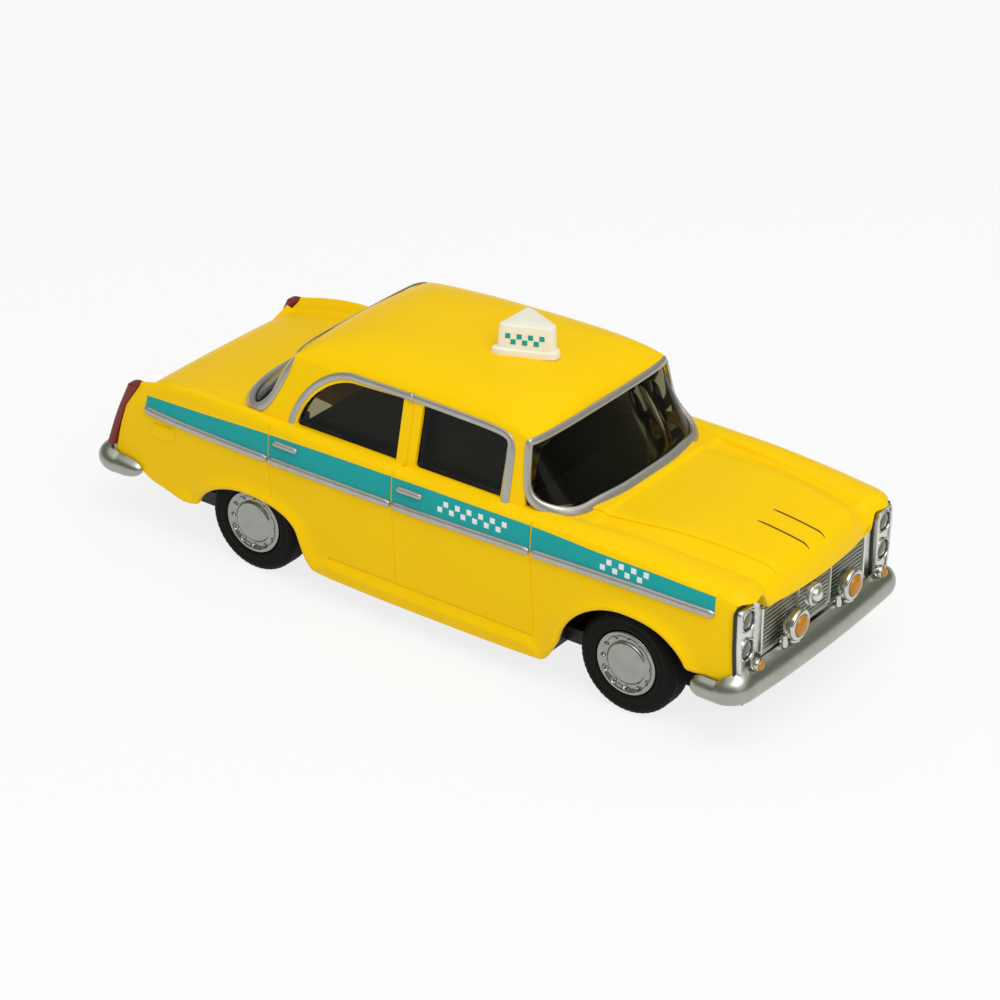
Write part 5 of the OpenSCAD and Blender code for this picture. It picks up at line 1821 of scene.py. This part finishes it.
@dataclass(frozen=True)
class Studio:
    """Floor, lamps, surroundings and camera."""

    azimuth: float = 35.9376
    elevation: float = 27.9836
    roll: float = 0.8301
    eye: tuple[float, float, float] = (167.48, -229.82, 160.82)
    lens: float = 129.106
    shift: tuple[float, float] = (0.006819, -0.015322)
    aim: tuple[float, float, float] = (0.0, 0.0, 8.0)
    ambient: float = 0.6
    screen_r: float = 900.0
    screen_z: tuple[float, float] = (40.0, 900.0)
    screen_sides: int = 48
    floor_half: float = 4.0
    glow: float = 0.82

    def build(self) -> None:
        """Sets up everything round the car."""
        self.floor()
        self.screens()
        self.surroundings()
        self.lamp("key_lamp", (130, -110, 320), 220, 0.58)
        self.lamp("fill_lamp", (260, -120, 180), 200, 0.10)
        self.camera()
        bpy.context.scene.view_settings.view_transform = "Standard"

    def floor(self) -> None:
        """Makes the pale floor, which looks white but keeps the car's shadow."""
        shop = Shop.named("floor_white")
        matt = shop.add("ShaderNodeBsdfDiffuse", None, {"Color": (0.86, 0.86, 0.86)})
        glow = shop.add("ShaderNodeEmission", None, {"Color": (1.0, 1.0, 1.0), "Strength": 1.0})
        mixed = shop.add("ShaderNodeMixShader", None, {0: shop.seen() * self.glow, 1: matt, 2: glow})
        material = shop.surface(mixed)
        data = bpy.data.meshes.new("floor")
        half = self.floor_half
        corners = [(-half, -half, 0), (half, -half, 0), (half, half, 0), (-half, half, 0)]
        data.from_pydata(corners, [], [(0, 1, 2, 3)])
        data.materials.append(material)
        floor = placed("floor", data)

    def screens(self) -> None:
        """Stands a ring of grey screens round the set, which is seen only in reflections."""
        shop = Shop.named("screen_dark")
        tone = shop.blend(shop.cloud(200.0), (0.36, 0.38, 0.33), (0.46, 0.48, 0.42))
        material = shop.surface(shop.add("ShaderNodeBsdfDiffuse", None, {"Color": tone}))
        n = self.screen_sides
        ring = round_bar(self.screen_r, n)
        points = np.concatenate([np.column_stack([ring, np.full(n, z)]) for z in self.screen_z])
        data = bpy.data.meshes.new("screens")
        faces = [(k, (k + 1) % n, n + (k + 1) % n, n + k) for k in range(n)]
        data.from_pydata((points * MM).tolist(), [], faces)
        data.materials.append(material)
        screens = placed("screens", data)
        for ray in ("camera", "diffuse", "transmission", "shadow", "volume_scatter"):
            setattr(screens, "visible_" + ray, False)

    def surroundings(self) -> None:
        """Makes the even light all round, white where it is seen."""
        world = bpy.data.worlds.new("studio")
        bpy.context.scene.world = world
        shop = Shop(world)
        strength = shop.seen() * (1.0 - self.ambient) + self.ambient
        glow = shop.add("ShaderNodeBackground", None, {"Color": (1.0, 1.0, 1.0), "Strength": strength})
        shop.add("ShaderNodeOutputWorld", None, {"Surface": glow})

    def lamp(self, name: str, place: Sequence[float], size: float, power: float) -> None:
        """Adds a square soft lamp that faces the car.

        Args:
            name: the lamp's name.
            place: where it stands, in millimetres.
            size: its width.
            power: its light in watts.
        """
        data = bpy.data.lights.new(name, "AREA")
        data.shape, data.size, data.energy = "SQUARE", size * MM, power
        lamp = placed(name, data)
        back = unit(np.array(place, float) - np.array(self.aim, float))
        right = unit(np.cross([0, 1, 0.01], back))
        lamp.matrix_world = self.frame(right, np.cross(back, right), back, place)

    def camera(self) -> None:
        """Sets the camera where the photograph was taken from."""
        a, e, r = (math.radians(v) for v in (self.azimuth, self.elevation, self.roll))
        back = np.array([math.sin(a) * math.cos(e), -math.cos(a) * math.cos(e), math.sin(e)])
        right = np.array([math.cos(a), math.sin(a), 0.0])
        up = np.cross(back, right)
        data = bpy.data.cameras.new("camera")
        data.lens, data.sensor_width = self.lens, 36.0
        data.shift_x, data.shift_y = self.shift
        data.clip_start, data.clip_end = 0.01, 20.0
        camera = placed("camera", data)
        turned = math.cos(r) * right + math.sin(r) * up
        camera.matrix_world = self.frame(turned, np.cross(back, turned), back, self.eye)
        bpy.context.scene.camera = camera

    def frame(self, right: Array, up: Array, back: Array, place: Sequence[float]) -> Matrix:
        """Matrix of an object that looks along -back from a place in millimetres."""
        m = Matrix.Identity(4)
        for row in range(3):
            m[row] = (right[row], up[row], back[row], place[row] * MM)
        return m


def main() -> None:
    """Builds the car's looks piece by piece."""
    logging.basicConfig(level=logging.INFO, format="%(message)s")
    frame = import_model()
    bench = Bench()
    casting, cabin = Casting(), Cabin()
    BodyWork(casting, cabin).build(bench)
    cabin.frames(bench, casting)
    cabin.glazing(bench)
    for rider, x in ((Rider.FRONT, AT.front_axle), (Rider.REAR, AT.rear_axle)):
        for side in Side:
            Wheel(rider, side, x).build(bench)
    Front().build(bench)
    Rear().build(bench)
    RoofSign().build(bench)
    Underside(frame["nodes"]).build(bench)
    Studio().build()
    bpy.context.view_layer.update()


if __name__ == "__main__":
    main()
